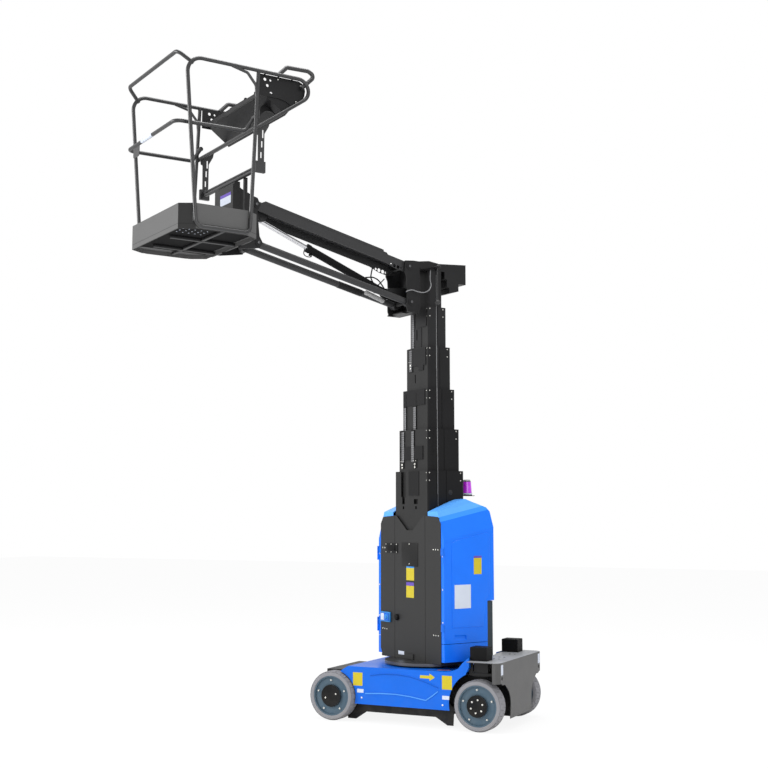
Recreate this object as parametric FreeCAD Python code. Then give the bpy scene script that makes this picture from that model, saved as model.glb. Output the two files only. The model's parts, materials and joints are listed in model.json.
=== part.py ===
import FreeCAD, Part
import math
import os

V = FreeCAD.Vector

# Row frame: +X along the wheelbase to the steered end, +Z up from the floor, in mm.
# The turret's own frame has u to its front, v to its left and the slew axis at the origin.

# Place of the slew axis in the row frame, which puts the bounding box over the origin
SLEW_X = 453.6
SLEW_Y = 966.0
SLEW_REST = -120.6

# Wheels and chassis
WHEEL_R = 203.0
TYRE_W = 125.0
RIM_R = 163.0
WHEELBASE = 1320.0
WIDTH = 993.0
WHEEL_Y = (WIDTH - TYRE_W) / 2
STEER_X = WHEELBASE / 2
DRIVE_X = -WHEELBASE / 2
KINGPIN_Y = 338.0
KINGPIN_R = 20.0
TOWER_R = 26.0
COVER_HALF = 450.0
COVER_TOP = 452.0
COVER_BOTTOM = 147.0
COVER_SKIN = 6.0
LOBE_X = 575.0
FRAME_HALF = 300.0
FRAME_BOTTOM = 96.0
FRAME_TOP = 400.0
BEAM_BOTTOM = 424.0
NOSE_HALF = 185.0
END_X = 857.0
END_HALF = 512.0
END_TOP = 549.0
LASH_Y = 446.0
LASH_Z = 425.0
LASH_R = 15.0
RING_R = 355.0
RING_Z = 466.0
RING_H = 23.5
SWING_R = 600.0
SKIRT_Y = 344.0
SKIRT_T = 10.0

# Turret
TURRET_Z = 490.0
TURRET_FRONT = 170.0
TURRET_REAR = -356.0
PANEL_TOP = 1706.0
PANEL_HALF = 450.0
PANEL_SEAM = 228.0
PANEL_T = 5.0
DOOR_HALF = 490.0
DOOR_INNER = 262.0
DOOR_SKIN = 6.0
DOOR_RETURN = 425.0
DOOR_BOTTOM = 664.0
SKIRT_BOTTOM = 515.0
HINGE_U = 172.0
HINGE_V = 492.0
HINGE_R = 7.0
HINGE_H = 60.0
HINGE_HEIGHTS = (760.0, 1380.0)

# Mast: half width, front, rear and top of each section at rest
SECTION_COUNT = 6
BASE_HALF_V = 250.0
BASE_FRONT = 152.0
BASE_REAR = -229.0
STEP_V = 27.0
STEP_FRONT = 22.0
STEP_REAR = 25.0
SECTION_WALL = 8.0
SECTION_TOPS = [2091.0, 2451.0, 2798.0, 3169.0, 3522.0, 3850.0]
SECTION_LENGTH = 1560.0
PAD_H = 90.0
PAD_W = 34.0
PAD_GAP = 0.4
CORNER_CUT = 12.0
GROOVE_W = 8.0
GROOVE_D = 3.0

# Jib
HEAD_FRONT = 162.0
HEAD_TOP = 3912.0
CHEEK_V = 140.0
CHEEK_T = 12.0
CYLINDER_BASE = (430.0, 3625.0)
CYLINDER_EYE = (1655.0, 4100.0)
CYLINDER_R = 32.0
GLAND_R = 36.0
ROD_R = 18.0
CYLINDER_PIN_R = 14.0
BASE_LUG_V = 34.5
EYE_LUG_V = 30.0
LUG_T = 12.0
BAY_HALF = 60.0
ROD_INNER = 440.0
JIB_ANGLE = 12.8
JIB_LENGTH = 1520.0
JIB_U = 270.0
JIB_Z = 3850.0
LINK_U = 250.0
LINK_Z = 3540.0
BEAM_DEPTH = 72.0
BEAM_HALF = 125.0
BEAM_WALL = 7.0
TRAY_H = 32.0
ROOT_DROP = 19.0
LINK_V = 106.0
LINK_R = 28.0
PIN_R = 18.0

# Basket
PAN_FRONT = 2555.0
PAN_REAR = 1905.0
PAN_HALF = 518.0
PAN_CORNER_U = 110.0
PAN_CORNER_V = 71.0
PAN_BOTTOM = 3827.0
PAN_TOP = 4020.0
PAN_SKIN = 6.0
FLOOR_Z = 3868.0
RAIL_R = 15.0
GRIP_R = 17.0
RAIL_TOP = 5130.0
FRAME_V = 533.0
GATE_V = 483.0
PLATE_V = 500.0
PLATE_T = 6.0
GRIP_V = PLATE_V + PLATE_T / 2 + GRIP_R + 0.6
CROSS_U = 1925.0
CROSS_Z = 4362.0
SHOULDER_U = 1306.0
SHOULDER_Z = 5137.0
NOSE_Z = 5128.0
NOSE_U = 2546.0


def box(x0, x1, y0, y1, z0, z1):
    """Axis-aligned block between two corners."""
    return Part.makeBox(x1 - x0, y1 - y0, z1 - z0, V(x0, y0, z0))


def rod(start, end, radius):
    """Round bar between two points."""
    axis = end - start
    return Part.makeCylinder(radius, axis.Length, start, axis)


def prism(points, axis, low, high):
    """Extrude an outline of pairs along the named axis from low to high."""
    place = {
        "x": lambda a, b, c: V(c, a, b),
        "y": lambda a, b, c: V(a, c, b),
        "z": lambda a, b, c: V(a, b, c),
    }[axis]
    corners = [place(a, b, low) for a, b in points]
    wire = Part.makePolygon(corners + corners[:1])
    way = place(0, 0, high - low)
    return Part.Face(wire).extrude(way)


def tube(points, radius, bends):
    """Round bar along points, with each inner corner bent to an arc of its own radius."""
    edges = []
    last = points[0]
    for before, corner, after, bend in zip(points, points[1:], points[2:], bends):
        way_in = (before - corner).normalize()
        way_out = (after - corner).normalize()
        half = way_in.getAngle(way_out) / 2
        reach = bend / math.tan(half)
        first = corner + way_in * reach
        final = corner + way_out * reach
        bisector = (way_in + way_out).normalize()
        middle = corner + bisector * (bend / math.sin(half) - bend)
        edges.append(Part.makeLine(last, first))
        edges.append(Part.Arc(first, middle, final).toShape())
        last = final
    edges.append(Part.makeLine(last, points[-1]))
    path = Part.Wire(edges)
    ring = Part.Wire(Part.makeCircle(radius, points[0], points[1] - points[0]))
    return path.makePipeShell([ring], True, True)


def band(first, middle, last, width, axis, low, high):
    """Curved strip of the named width through three points of a plane, extruded along the axis."""
    place = {"x": lambda a, b: V(low, a, b), "y": lambda a, b: V(a, low, b)}[axis]
    half = width / 2
    upper = [place(a, b + half) for a, b in (first, middle, last)]
    lower = [place(a, b - half) for a, b in (first, middle, last)]
    edges = [
        Part.Arc(*upper).toShape(), Part.makeLine(upper[2], lower[2]),
        Part.Arc(*lower).toShape(), Part.makeLine(lower[0], upper[0]),
    ]
    face = Part.Face(Part.Wire(Part.__sortEdges__(edges)))
    way = V(high - low, 0, 0) if axis == "x" else V(0, high - low, 0)
    return face.extrude(way)


def rounded(shape, radius, wanted):
    """Fillet the edges whose two ends both lie where wanted says."""
    edges = []
    for edge in shape.Edges:
        ends = [vertex.Point for vertex in edge.Vertexes]
        if len(ends) == 2 and all(wanted(point) for point in ends):
            edges.append(edge)
    return shape.makeFillet(radius, edges)


def mirrored(shape):
    """Copy of a turret piece on the other side of the turret's middle plane."""
    return shape.mirror(V(0, 0, 0), V(0, 1, 0))


def joined(pieces):
    """Pieces fused to one shape."""
    first = pieces[0]
    if len(pieces) == 1:
        return first
    return first.fuse(pieces[1:]).removeSplitter()


def on_chassis(shape):
    """Shape moved from the chassis frame to the row frame."""
    moved = shape.copy()
    moved.translate(V(SLEW_X, SLEW_Y, 0))
    return moved


def on_turret(shape):
    """Shape turned from the turret frame to its slew at rest in the row frame."""
    moved = shape.copy()
    moved.rotate(V(0, 0, 0), V(0, 0, 1), SLEW_REST)
    moved.translate(V(SLEW_X, SLEW_Y, 0))
    return moved


def save(name, shape):
    """Write one node."""
    shape.exportStep("parts/" + name + ".step")


# Wheels

def tyre():
    """Solid tyre about the y axis, centred on the origin."""
    half = TYRE_W / 2
    crown = 14.0
    outline = [
        (RIM_R, -half + 6), (WHEEL_R - crown, -half), (WHEEL_R, -half + crown),
        (WHEEL_R, half - crown), (WHEEL_R - crown, half), (RIM_R, half - 6),
    ]
    corners = [V(r, y, 0) for r, y in outline]
    face = Part.Face(Part.makePolygon(corners + corners[:1]))
    return face.revolve(V(0, 0, 0), V(0, 1, 0), 360)


def rim(hub_r, hub_out):
    """Dished wheel disc with a hub, outer face to +y."""
    half = TYRE_W / 2
    barrel = rod(V(0, -half + 8, 0), V(0, half - 8, 0), RIM_R)
    barrel = barrel.cut(rod(V(0, half - 22, 0), V(0, half, 0), RIM_R - 10))
    barrel = barrel.cut(rod(V(0, -half, 0), V(0, half - 40, 0), RIM_R - 10))
    hub = rod(V(0, -half + 8, 0), V(0, half + hub_out, 0), hub_r)
    return joined([barrel, hub])


# Hub radius and how far it stands out of the tyre's outer face, for each axle
AXLES = [
    {"name": "drive", "x": DRIVE_X, "hub_r": 92.0, "hub_out": -4.0},
    {"name": "steer", "x": STEER_X, "hub_r": 88.0, "hub_out": 2.0},
]
SIDES = [
    {"name": "right", "sign": -1},
    {"name": "left", "sign": 1},
]


def wheels():
    """Tyre and rim of each wheel."""
    for axle in AXLES:
        for side in SIDES:
            place = V(axle["x"], side["sign"] * WHEEL_Y, WHEEL_R)
            name = axle["name"] + "_" + side["name"]
            disc = rim(axle["hub_r"], axle["hub_out"])
            if side["sign"] < 0:
                disc = mirrored(disc)
            for kind, shape in (("tyre_", tyre()), ("rim_", disc)):
                moved = shape.copy()
                moved.translate(place)
                save(kind + name, on_chassis(moved))


# Steering

def knuckle(side):
    """King pin, stub axle and steering arm of one steered wheel."""
    y = side * KINGPIN_Y
    stub_end = side * (WHEEL_Y - TYRE_W / 2 + 7.5)
    pin = rod(V(STEER_X, y, 130), V(STEER_X, y, 415), KINGPIN_R)
    collar = rod(V(STEER_X, y, 140), V(STEER_X, y, 290), TOWER_R + 1)
    stub = rod(V(STEER_X, y, WHEEL_R), V(STEER_X, stub_end, WHEEL_R), 36)
    arm = box(STEER_X - 150, STEER_X, y - 16, y + 16, 150, 172)
    eye = rod(V(STEER_X - 135, y, 160), V(STEER_X - 135, y, 204), 9.95)
    return joined([pin, collar, stub, arm, eye])


def tie_rod():
    """Track rod between the ends of the two steering arms."""
    x = STEER_X - 135
    bar = rod(V(x, -KINGPIN_Y, 186), V(x, KINGPIN_Y, 186), 12)
    eyes = [rod(V(x, s * KINGPIN_Y, 172.3), V(x, s * KINGPIN_Y, 200), 20) for s in (-1, 1)]
    holes = [rod(V(x, s * KINGPIN_Y, 170), V(x, s * KINGPIN_Y, 210), 10) for s in (-1, 1)]
    return joined([bar] + eyes).cut(holes)


# Chassis

def chassis_frame():
    """Box frame between the axles, with the drive beam and the slew ring's pedestal."""
    main = box(-800, 380, -FRAME_HALF, FRAME_HALF, FRAME_BOTTOM, FRAME_TOP)
    drive = box(DRIVE_X - 60, DRIVE_X + 60, -360, 360, 150, 256)
    pedestal = rod(V(0, 0, FRAME_TOP - 5), V(0, 0, RING_Z), 280)
    shafts = []
    for s in (-1, 1):
        inner_face = WHEEL_Y - TYRE_W / 2 + 8
        shafts.append(rod(V(DRIVE_X, s * 350, WHEEL_R), V(DRIVE_X, s * (inner_face - 0.3), WHEEL_R), 42))
    seats = []
    for x in (-500, 320):
        for y in (-280, 240):
            seats.append(box(x, x + 40, y, y + 40, FRAME_TOP - 5, COVER_TOP - COVER_SKIN))
    return joined([main, drive, pedestal] + shafts + seats)


def steer_frame():
    """Nose of the frame with the steering beam, its king-pin towers and side brackets."""
    nose = box(380, END_X - 5, -NOSE_HALF, NOSE_HALF, 262, FRAME_TOP)
    foot = box(STEER_X - 20, END_X - 5, -NOSE_HALF, NOSE_HALF, FRAME_BOTTOM, 262)
    post = box(STEER_X - 60, STEER_X + 60, -NOSE_HALF, NOSE_HALF, FRAME_TOP, BEAM_BOTTOM)
    beam = box(STEER_X - 60, STEER_X + 60, -400, 400, BEAM_BOTTOM, END_TOP - 5)
    pieces = [nose, foot, post, beam]
    for s in (-1, 1):
        low, high = sorted((s * 400, s * 408))
        bracket = box(560, 812, low, high, 432, END_TOP - 5)
        window = box(594, 778, low, high, 452, 528)
        pieces.append(bracket.cut(window))
        pieces.append(rod(V(STEER_X, s * KINGPIN_Y, 296), V(STEER_X, s * KINGPIN_Y, 430), TOWER_R))
    body = joined(pieces)
    bores = []
    for s in (-1, 1):
        bores.append(rod(V(STEER_X, s * KINGPIN_Y, 290), V(STEER_X, s * KINGPIN_Y, 420), KINGPIN_R + 0.05))
    return body.cut(bores)


def chassis_cover():
    """Moulded blue cover with an arch over each wheel."""
    outer = [
        (-590, COVER_BOTTOM), (402, COVER_BOTTOM), (LOBE_X, 500), (LOBE_X, 575),
        (520, 530), (480, 482), (416, 458), (372, COVER_TOP), (-520, COVER_TOP),
        (-590, 410),
    ]
    body = prism(outer, "y", -COVER_HALF, COVER_HALF)
    inner = [
        (-584, 0), (396, 0), (LOBE_X - COVER_SKIN, 500), (LOBE_X - COVER_SKIN, 562), (524, 524), (483, 476),
        (418, 452), (372, COVER_TOP - COVER_SKIN), (-518, COVER_TOP - COVER_SKIN), (-584, 405),
    ]
    body = body.cut(prism(inner, "y", -COVER_HALF + COVER_SKIN, COVER_HALF - COVER_SKIN))
    for s in (-1, 1):
        low, high = sorted((s * (COVER_HALF - 2), s * (COVER_HALF + 4)))
        body = body.fuse(band((-309, 386), (-60, 407), (305, 321), 9, "y", low, high))
        body = body.fuse(band((-356, 236), (-80, 247), (196, 215), 9, "y", low, high))
        body = body.fuse(band((196, 215), (252, 251), (306, 294), 9, "y", low, high))
    cuts = [box(-600, 600, -FRAME_HALF - 4, FRAME_HALF + 4, 0, FRAME_TOP + 4)]
    cuts.append(rod(V(0, 0, 300), V(0, 0, 600), 284))
    cuts.append(rod(V(0, 0, 486), V(0, 0, 700), SWING_R))
    for s in (-1, 1):
        outside = s * (COVER_HALF + 10)
        inside = s * 340
        cuts.append(rod(V(DRIVE_X, inside, WHEEL_R), V(DRIVE_X, outside, WHEEL_R), WHEEL_R + 9))
        cuts.append(rod(V(STEER_X, s * 60, WHEEL_R), V(STEER_X, outside, WHEEL_R), 262))
    cuts.append(box(380, 600, -412, 412, 200, FRAME_TOP + 60))
    cuts.append(box(540, 600, -412, 412, 200, 700))
    return body.cut(cuts)


def steer_end_cover():
    """Bent sheet over the steered end: top, end plate and short side flanges."""
    corner = 34
    top = prism(
        [
            (580, -END_HALF), (END_X - corner, -END_HALF), (END_X, -END_HALF + corner),
            (END_X, END_HALF - corner), (END_X - corner, END_HALF), (580, END_HALF),
        ],
        "z", END_TOP - 5, END_TOP,
    )
    low = (-265, FRAME_BOTTOM - 6)
    high = (232, FRAME_BOTTOM - 6)
    end = prism(
        [
            (-END_HALF + corner, END_TOP), (-END_HALF + corner, 395), (-430, 372), (-376, 371),
            (-336, 344), (-288, 306), (-256, 256), (-248, 203), (-256, 150), low, high, (250, 150),
            (248, 203), (256, 256), (288, 306), (336, 344), (376, 371), (430, 372),
            (END_HALF - corner, 395), (END_HALF - corner, END_TOP),
        ],
        "x", END_X - 5, END_X,
    )
    pieces = [top, end]
    for s in (-1, 1):
        side = [
            (END_X - corner - 26, s * END_HALF), (END_X - corner, s * END_HALF),
            (END_X, s * (END_HALF - corner)), (END_X - 5, s * (END_HALF - corner)),
            (END_X - corner - 2, s * (END_HALF - 5)), (END_X - corner - 26, s * (END_HALF - 5)),
        ]
        pieces.append(prism(side, "z", 385, END_TOP))
    sheet = joined(pieces)
    sheet = rounded(sheet, 4, lambda point: abs(point.z - END_TOP) < 0.1 and point.x > 700)
    holes = [rod(V(0, 0, 500), V(0, 0, 600), SWING_R)]
    for s in (-1, 1):
        holes.append(rod(V(END_X - 20, s * LASH_Y, LASH_Z), V(END_X + 20, s * LASH_Y, LASH_Z), LASH_R))
    return sheet.cut(holes)


def pin_boxes():
    """Black housings above the two king pins, with a chamfered lid."""
    pieces = []
    for s in (-1, 1):
        low, high = sorted((s * 300, s * 425))
        housing = box(LOBE_X + 1, 720, low, high, END_TOP, 658)
        pieces.append(rounded(housing, 5, lambda point: point.z > 650))
    return Part.makeCompound(pieces)


def belly_skirt():
    """Side plates under the cover, each with two feet close to the floor."""
    outline = [
        (-593, 150), (-567, 8), (-491, 8), (-393, 72), (242, 72), (345, 12),
        (395, 12), (403, 150), (360, 190), (-530, 190),
    ]
    sides = []
    for s in (-1, 1):
        low, high = sorted((s * SKIRT_Y, s * (SKIRT_Y + SKIRT_T)))
        pieces = [prism(outline, "y", low, high)]
        low, high = sorted((s * FRAME_HALF, s * SKIRT_Y))
        for x in (-380, 200):
            pieces.append(box(x, x + 40, low, high, 130, 150))
        sides.append(joined(pieces))
    return Part.makeCompound(sides)


def slew_ring():
    """Disc of the slewing bearing, fixed to the chassis."""
    return rod(V(0, 0, RING_Z), V(0, 0, RING_Z + RING_H), RING_R)


# Turret

# Raised pieces on the turret's front panels
PANEL_FITTINGS = [
    {"name": "hatch", "v0": -117, "v1": 125, "z0": 1278, "z1": 1478, "proud": 2.5},
    {"name": "latch", "v0": -367, "v1": -178, "z0": 1386, "z1": 1469, "proud": 5},
    {"name": "latch paddle", "v0": -330, "v1": -216, "z0": 1404, "z1": 1452, "proud": 12},
    {"name": "socket", "v0": -431, "v1": -288, "z0": 788, "z1": 873, "proud": 16},
    {"name": "socket lid", "v0": -420, "v1": -299, "z0": 798, "z1": 863, "proud": 21},
    {"name": "front foot", "v0": -60, "v1": 60, "z0": 500, "z1": 545, "proud": 10},
]


def turret_frame():
    """Base plate, front panels in three with a V notch, and the rear panel."""
    base = box(-300, TURRET_FRONT - PANEL_T, -440, 440, TURRET_Z, TURRET_Z + 20)
    front = prism(
        [
            (-PANEL_HALF, 560), (-420, TURRET_Z + 6), (-PANEL_SEAM, TURRET_Z), (PANEL_SEAM, TURRET_Z),
            (PANEL_HALF, TURRET_Z + 8), (PANEL_HALF, 1640), (412, PANEL_TOP - 8),
            (PANEL_SEAM, PANEL_TOP + 4), (205, PANEL_TOP + 4), (45, 1585), (-45, 1585),
            (-205, PANEL_TOP + 4), (-PANEL_SEAM, PANEL_TOP + 4), (-412, PANEL_TOP - 8),
            (-PANEL_HALF, 1640),
        ],
        "x", TURRET_FRONT - PANEL_T, TURRET_FRONT,
    )
    rear = box(-350, -344, -250, 250, 1004, 1640)
    pieces = [base, front, rear]
    for fitting in PANEL_FITTINGS:
        pieces.append(box(
            TURRET_FRONT - 1, TURRET_FRONT + fitting["proud"],
            fitting["v0"], fitting["v1"], fitting["z0"], fitting["z1"],
        ))
    pieces.append(rod(V(TURRET_FRONT - 1, -187, 838), V(TURRET_FRONT + 22, -187, 838), 13))
    for s in (-1, 1):
        pieces.append(box(-346, BASE_REAR, s * 200 - 10, s * 200 + 10, 1010, 1600))
        pieces.append(box(BASE_FRONT, TURRET_FRONT - 2, s * 215 - 10, s * 215 + 10, TURRET_Z + 5, 1500))
        low, high = sorted((s * (PANEL_HALF - 5), s * HINGE_V))
        for z in HINGE_HEIGHTS:
            leaf = box(TURRET_FRONT - PANEL_T, TURRET_FRONT, low, high, z, z + HINGE_H)
            pieces.append(leaf)
            pieces.append(rod(V(HINGE_U, s * HINGE_V, z), V(HINGE_U, s * HINGE_V, z + HINGE_H), HINGE_R))
    body = joined(pieces)
    seams = [box(TURRET_FRONT - 3, TURRET_FRONT + 3, s * PANEL_SEAM - 2, s * PANEL_SEAM + 2, 0, 2000) for s in (-1, 1)]
    return body.cut(seams)


def counterweight():
    """Cast block across the turret's tail."""
    slab = box(TURRET_REAR, -290, -468, 468, 520, 996)
    core = box(-300, -236, -250, 250, 510, 996)
    return joined([slab, core])


def battery_block():
    """Closed battery tray beside the mast, as one plain block."""
    return box(-270, 120, -430, -268, TURRET_Z + 20, 900)


def side_outline(bottom):
    """Side view of the turret's moulded cover down to the given height."""
    return [
        (165, bottom), (165, 1742), (-53, 1828), (-127, 1850), (-233, 1815),
        (-329, 1780), (-356, 1745), (-356, 1002), (-284, 1000), (-284, bottom),
    ]


def door():
    """Moulded side cover of the turret's left side with its slanted shoulder, open to the inside."""
    body = prism(side_outline(DOOR_BOTTOM), "y", DOOR_INNER, DOOR_HALF)
    inner = [
        (165 - DOOR_SKIN, DOOR_BOTTOM - 1), (165 - DOOR_SKIN, 1738), (-55, 1821),
        (-127, 1843), (-231, 1809), (-325, 1775), (-350, 1742), (-350, 1010),
        (-286, 1010), (-286, DOOR_BOTTOM - 1),
    ]
    hollow = prism(inner, "y", DOOR_INNER - 1, DOOR_HALF - DOOR_SKIN)
    behind_panel = box(158, 166, DOOR_INNER - 1, DOOR_RETURN, DOOR_BOTTOM - 1, PANEL_TOP - 16)
    run = V(-640, 0, 133)
    corners = [V(200, DOOR_HALF + 1, 1495), V(200, 400, 1738), V(200, 400, 1990), V(200, DOOR_HALF + 1, 1990)]
    wedge = Part.Face(Part.makePolygon(corners + corners[:1])).extrude(run)
    inner_wedge = wedge.copy()
    inner_wedge.translate(V(0, -5, -6))
    body = body.cut(wedge)
    body = rounded(body, 12, lambda point: point.y > DOOR_HALF - 1 and point.z > 1200)
    scoop = rod(V(60, DOOR_HALF + 22, 712), V(-60, DOOR_HALF + 22, 708), 30)
    shell = body.cut(hollow.cut(inner_wedge)).cut(behind_panel)
    rib = box(-70, 70, DOOR_HALF - 18, DOOR_HALF - DOOR_SKIN, 672, 748)
    shell = joined([shell, rib]).cut(scoop)
    barrels = []
    for z in HINGE_HEIGHTS:
        low = z - HINGE_H - 0.3
        barrels.append(rod(V(HINGE_U, HINGE_V, low), V(HINGE_U, HINGE_V, z - 0.3), HINGE_R))
        barrels.append(box(158, HINGE_U, DOOR_HALF - 8, DOOR_HALF, low, z - 0.3))
    return joined([shell] + barrels)


def lower_skirts():
    """Fixed strips of the moulded sides below the two doors."""
    pieces = []
    for s in (-1, 1):
        body = prism(side_outline(SKIRT_BOTTOM), "y", *sorted((s * DOOR_INNER, s * DOOR_HALF)))
        body = body.common(box(-400, 400, -600, 600, SKIRT_BOTTOM, DOOR_BOTTOM - 4))
        hollow = box(-278, 165 - DOOR_SKIN, *sorted((s * (DOOR_INNER - 1), s * (DOOR_HALF - DOOR_SKIN))), 0, 900)
        body = body.cut(hollow)
        tab = box(-200, 100, *sorted((s * 440, s * DOOR_HALF)), SKIRT_BOTTOM, SKIRT_BOTTOM + 6)
        tie = box(-200, 100, *sorted((s * 436, s * 442)), TURRET_Z + 20, SKIRT_BOTTOM + 6)
        pieces.append(joined([body, tab, tie]))
    return Part.makeCompound(pieces)


def beacon():
    """Warning beacon behind the mast on a thin shelf."""
    u = -372
    shelf = box(-424, BASE_REAR, 55, 145, 1880, 1885)
    web = box(-300, BASE_REAR, 97, 103, 1830, 1880)
    body = rod(V(u, 100, 1885), V(u, 100, 1905), 46)
    lens = Part.makeCone(42, 36, 105, V(u, 100, 1905))
    cap = rod(V(u, 100, 2010), V(u, 100, 2022), 30)
    return joined([shelf, web, body, lens, cap])


# Mast

def section_size(index):
    """Half width, front and rear of one mast section."""
    half = BASE_HALF_V - STEP_V * index
    front = BASE_FRONT - STEP_FRONT * index
    rear = BASE_REAR + STEP_REAR * index
    return half, front, rear


def section_profile(index):
    """Plan of one mast section with cut corners and a groove along each side."""
    half, front, rear = section_size(index)
    c = CORNER_CUT
    middle = (front + rear) / 2
    near = middle + GROOVE_W / 2
    far = middle - GROOVE_W / 2
    side = half - GROOVE_D
    return [
        (front, -half + c), (front, half - c), (front - c, half), (near, half), (near, side),
        (far, side), (far, half), (rear + c, half), (rear, half - c), (rear, -half + c),
        (rear + c, -half), (far, -half), (far, -side), (near, -side), (near, -half),
        (front - c, -half),
    ]


# Raised pieces on the front faces, each thin enough to slide into the section below
FRONT_PIECES = [
    {"section": 1, "v0": -35, "v1": 118, "z0": 1880, "z1": 2088, "proud": 4},
    {"section": 2, "v0": -196, "v1": 150, "z0": 2190, "z1": 2305, "proud": 7},
    {"section": 2, "v0": -185, "v1": -135, "z0": 2120, "z1": 2190, "proud": 6},
    {"section": 2, "v0": 8, "v1": 58, "z0": 2120, "z1": 2190, "proud": 6},
    {"section": 2, "v0": -180, "v1": -140, "z0": 2305, "z1": 2451, "proud": 5},
    {"section": 2, "v0": -22, "v1": 22, "z0": 2305, "z1": 2451, "proud": 5},
    {"section": 3, "v0": -169, "v1": 150, "z0": 2660, "z1": 2798, "proud": 6},
    {"section": 3, "v0": -169, "v1": -129, "z0": 2150, "z1": 2770, "proud": 7.5},
    {"section": 3, "v0": -22, "v1": 22, "z0": 2150, "z1": 2770, "proud": 7.5},
    {"section": 4, "v0": -71, "v1": 135, "z0": 3009, "z1": 3160, "proud": 7},
    {"section": 4, "v0": 30, "v1": 100, "z0": 2965, "z1": 3009, "proud": 7},
    {"section": 4, "v0": -125, "v1": -63, "z0": 2960, "z1": 3169, "proud": 6},
    {"section": 5, "v0": -25, "v1": 115, "z0": 3350, "z1": 3500, "proud": 7.5},
    {"section": 5, "v0": -83, "v1": 40, "z0": 2950, "z1": 3350, "proud": 4},
    {"section": 5, "v0": -115, "v1": -63, "z0": 2900, "z1": 3510, "proud": 6},
]

# Openings through the front walls
FRONT_WINDOWS = [
    {"section": 1, "v0": -155, "v1": -78, "z0": 1870, "z1": 2092},
    {"section": 1, "v0": -138, "v1": -98, "z0": 1808, "z1": 1870},
    {"section": 1, "v0": 40, "v1": 100, "z0": 1808, "z1": 1850},
    {"section": 1, "v0": 60, "v1": 82, "z0": 1765, "z1": 1790},
    {"section": 1, "v0": -130, "v1": -108, "z0": 1765, "z1": 1790},
    {"section": 4, "v0": -35, "v1": -22, "z0": 2860, "z1": 2935},
    {"section": 5, "v0": -34, "v1": -20, "z0": 3240, "z1": 3335},
]


def mast_section(index):
    """Hollow mast section with its top slide pads against the next one and its front fittings."""
    half, front, rear = section_size(index)
    top = SECTION_TOPS[index]
    bottom = TURRET_Z + 20 if index == 0 else top - SECTION_LENGTH
    wall = SECTION_WALL
    body = prism(section_profile(index), "z", bottom, top)
    body = body.cut(box(rear + wall, front - wall, -half + wall, half - wall, bottom - 1, top + 1))
    raised = [
        box(front - 1, front + piece["proud"], piece["v0"], piece["v1"], piece["z0"], piece["z1"])
        for piece in FRONT_PIECES if piece["section"] == index + 1
    ]
    if raised:
        body = joined([body] + raised)
    windows = [
        box(front - wall - 1, front + wall, gap["v0"], gap["v1"], gap["z0"], gap["z1"])
        for gap in FRONT_WINDOWS if gap["section"] == index + 1
    ]
    if windows:
        body = body.cut(windows)
    if index == SECTION_COUNT - 1:
        return body
    inner_half, inner_front, inner_rear = section_size(index + 1)
    pads = []
    for s in (-1, 1):
        low, high = sorted((s * (inner_half + PAD_GAP), s * (half - wall + 1)))
        for u in (inner_rear + CORNER_CUT + 3, inner_front - CORNER_CUT - 3 - PAD_W):
            pads.append(box(u, u + PAD_W, low, high, top - PAD_H, top))
        low, high = sorted((s * (inner_half - 22), s * (inner_half - CORNER_CUT - 1)))
        pads.append(box(inner_front + PAD_GAP, front - wall + 1, low, high, top - PAD_H, top))
        pads.append(box(rear + wall - 1, inner_rear - PAD_GAP, low, high, top - PAD_H, top))
    return joined([body] + pads)


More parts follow.
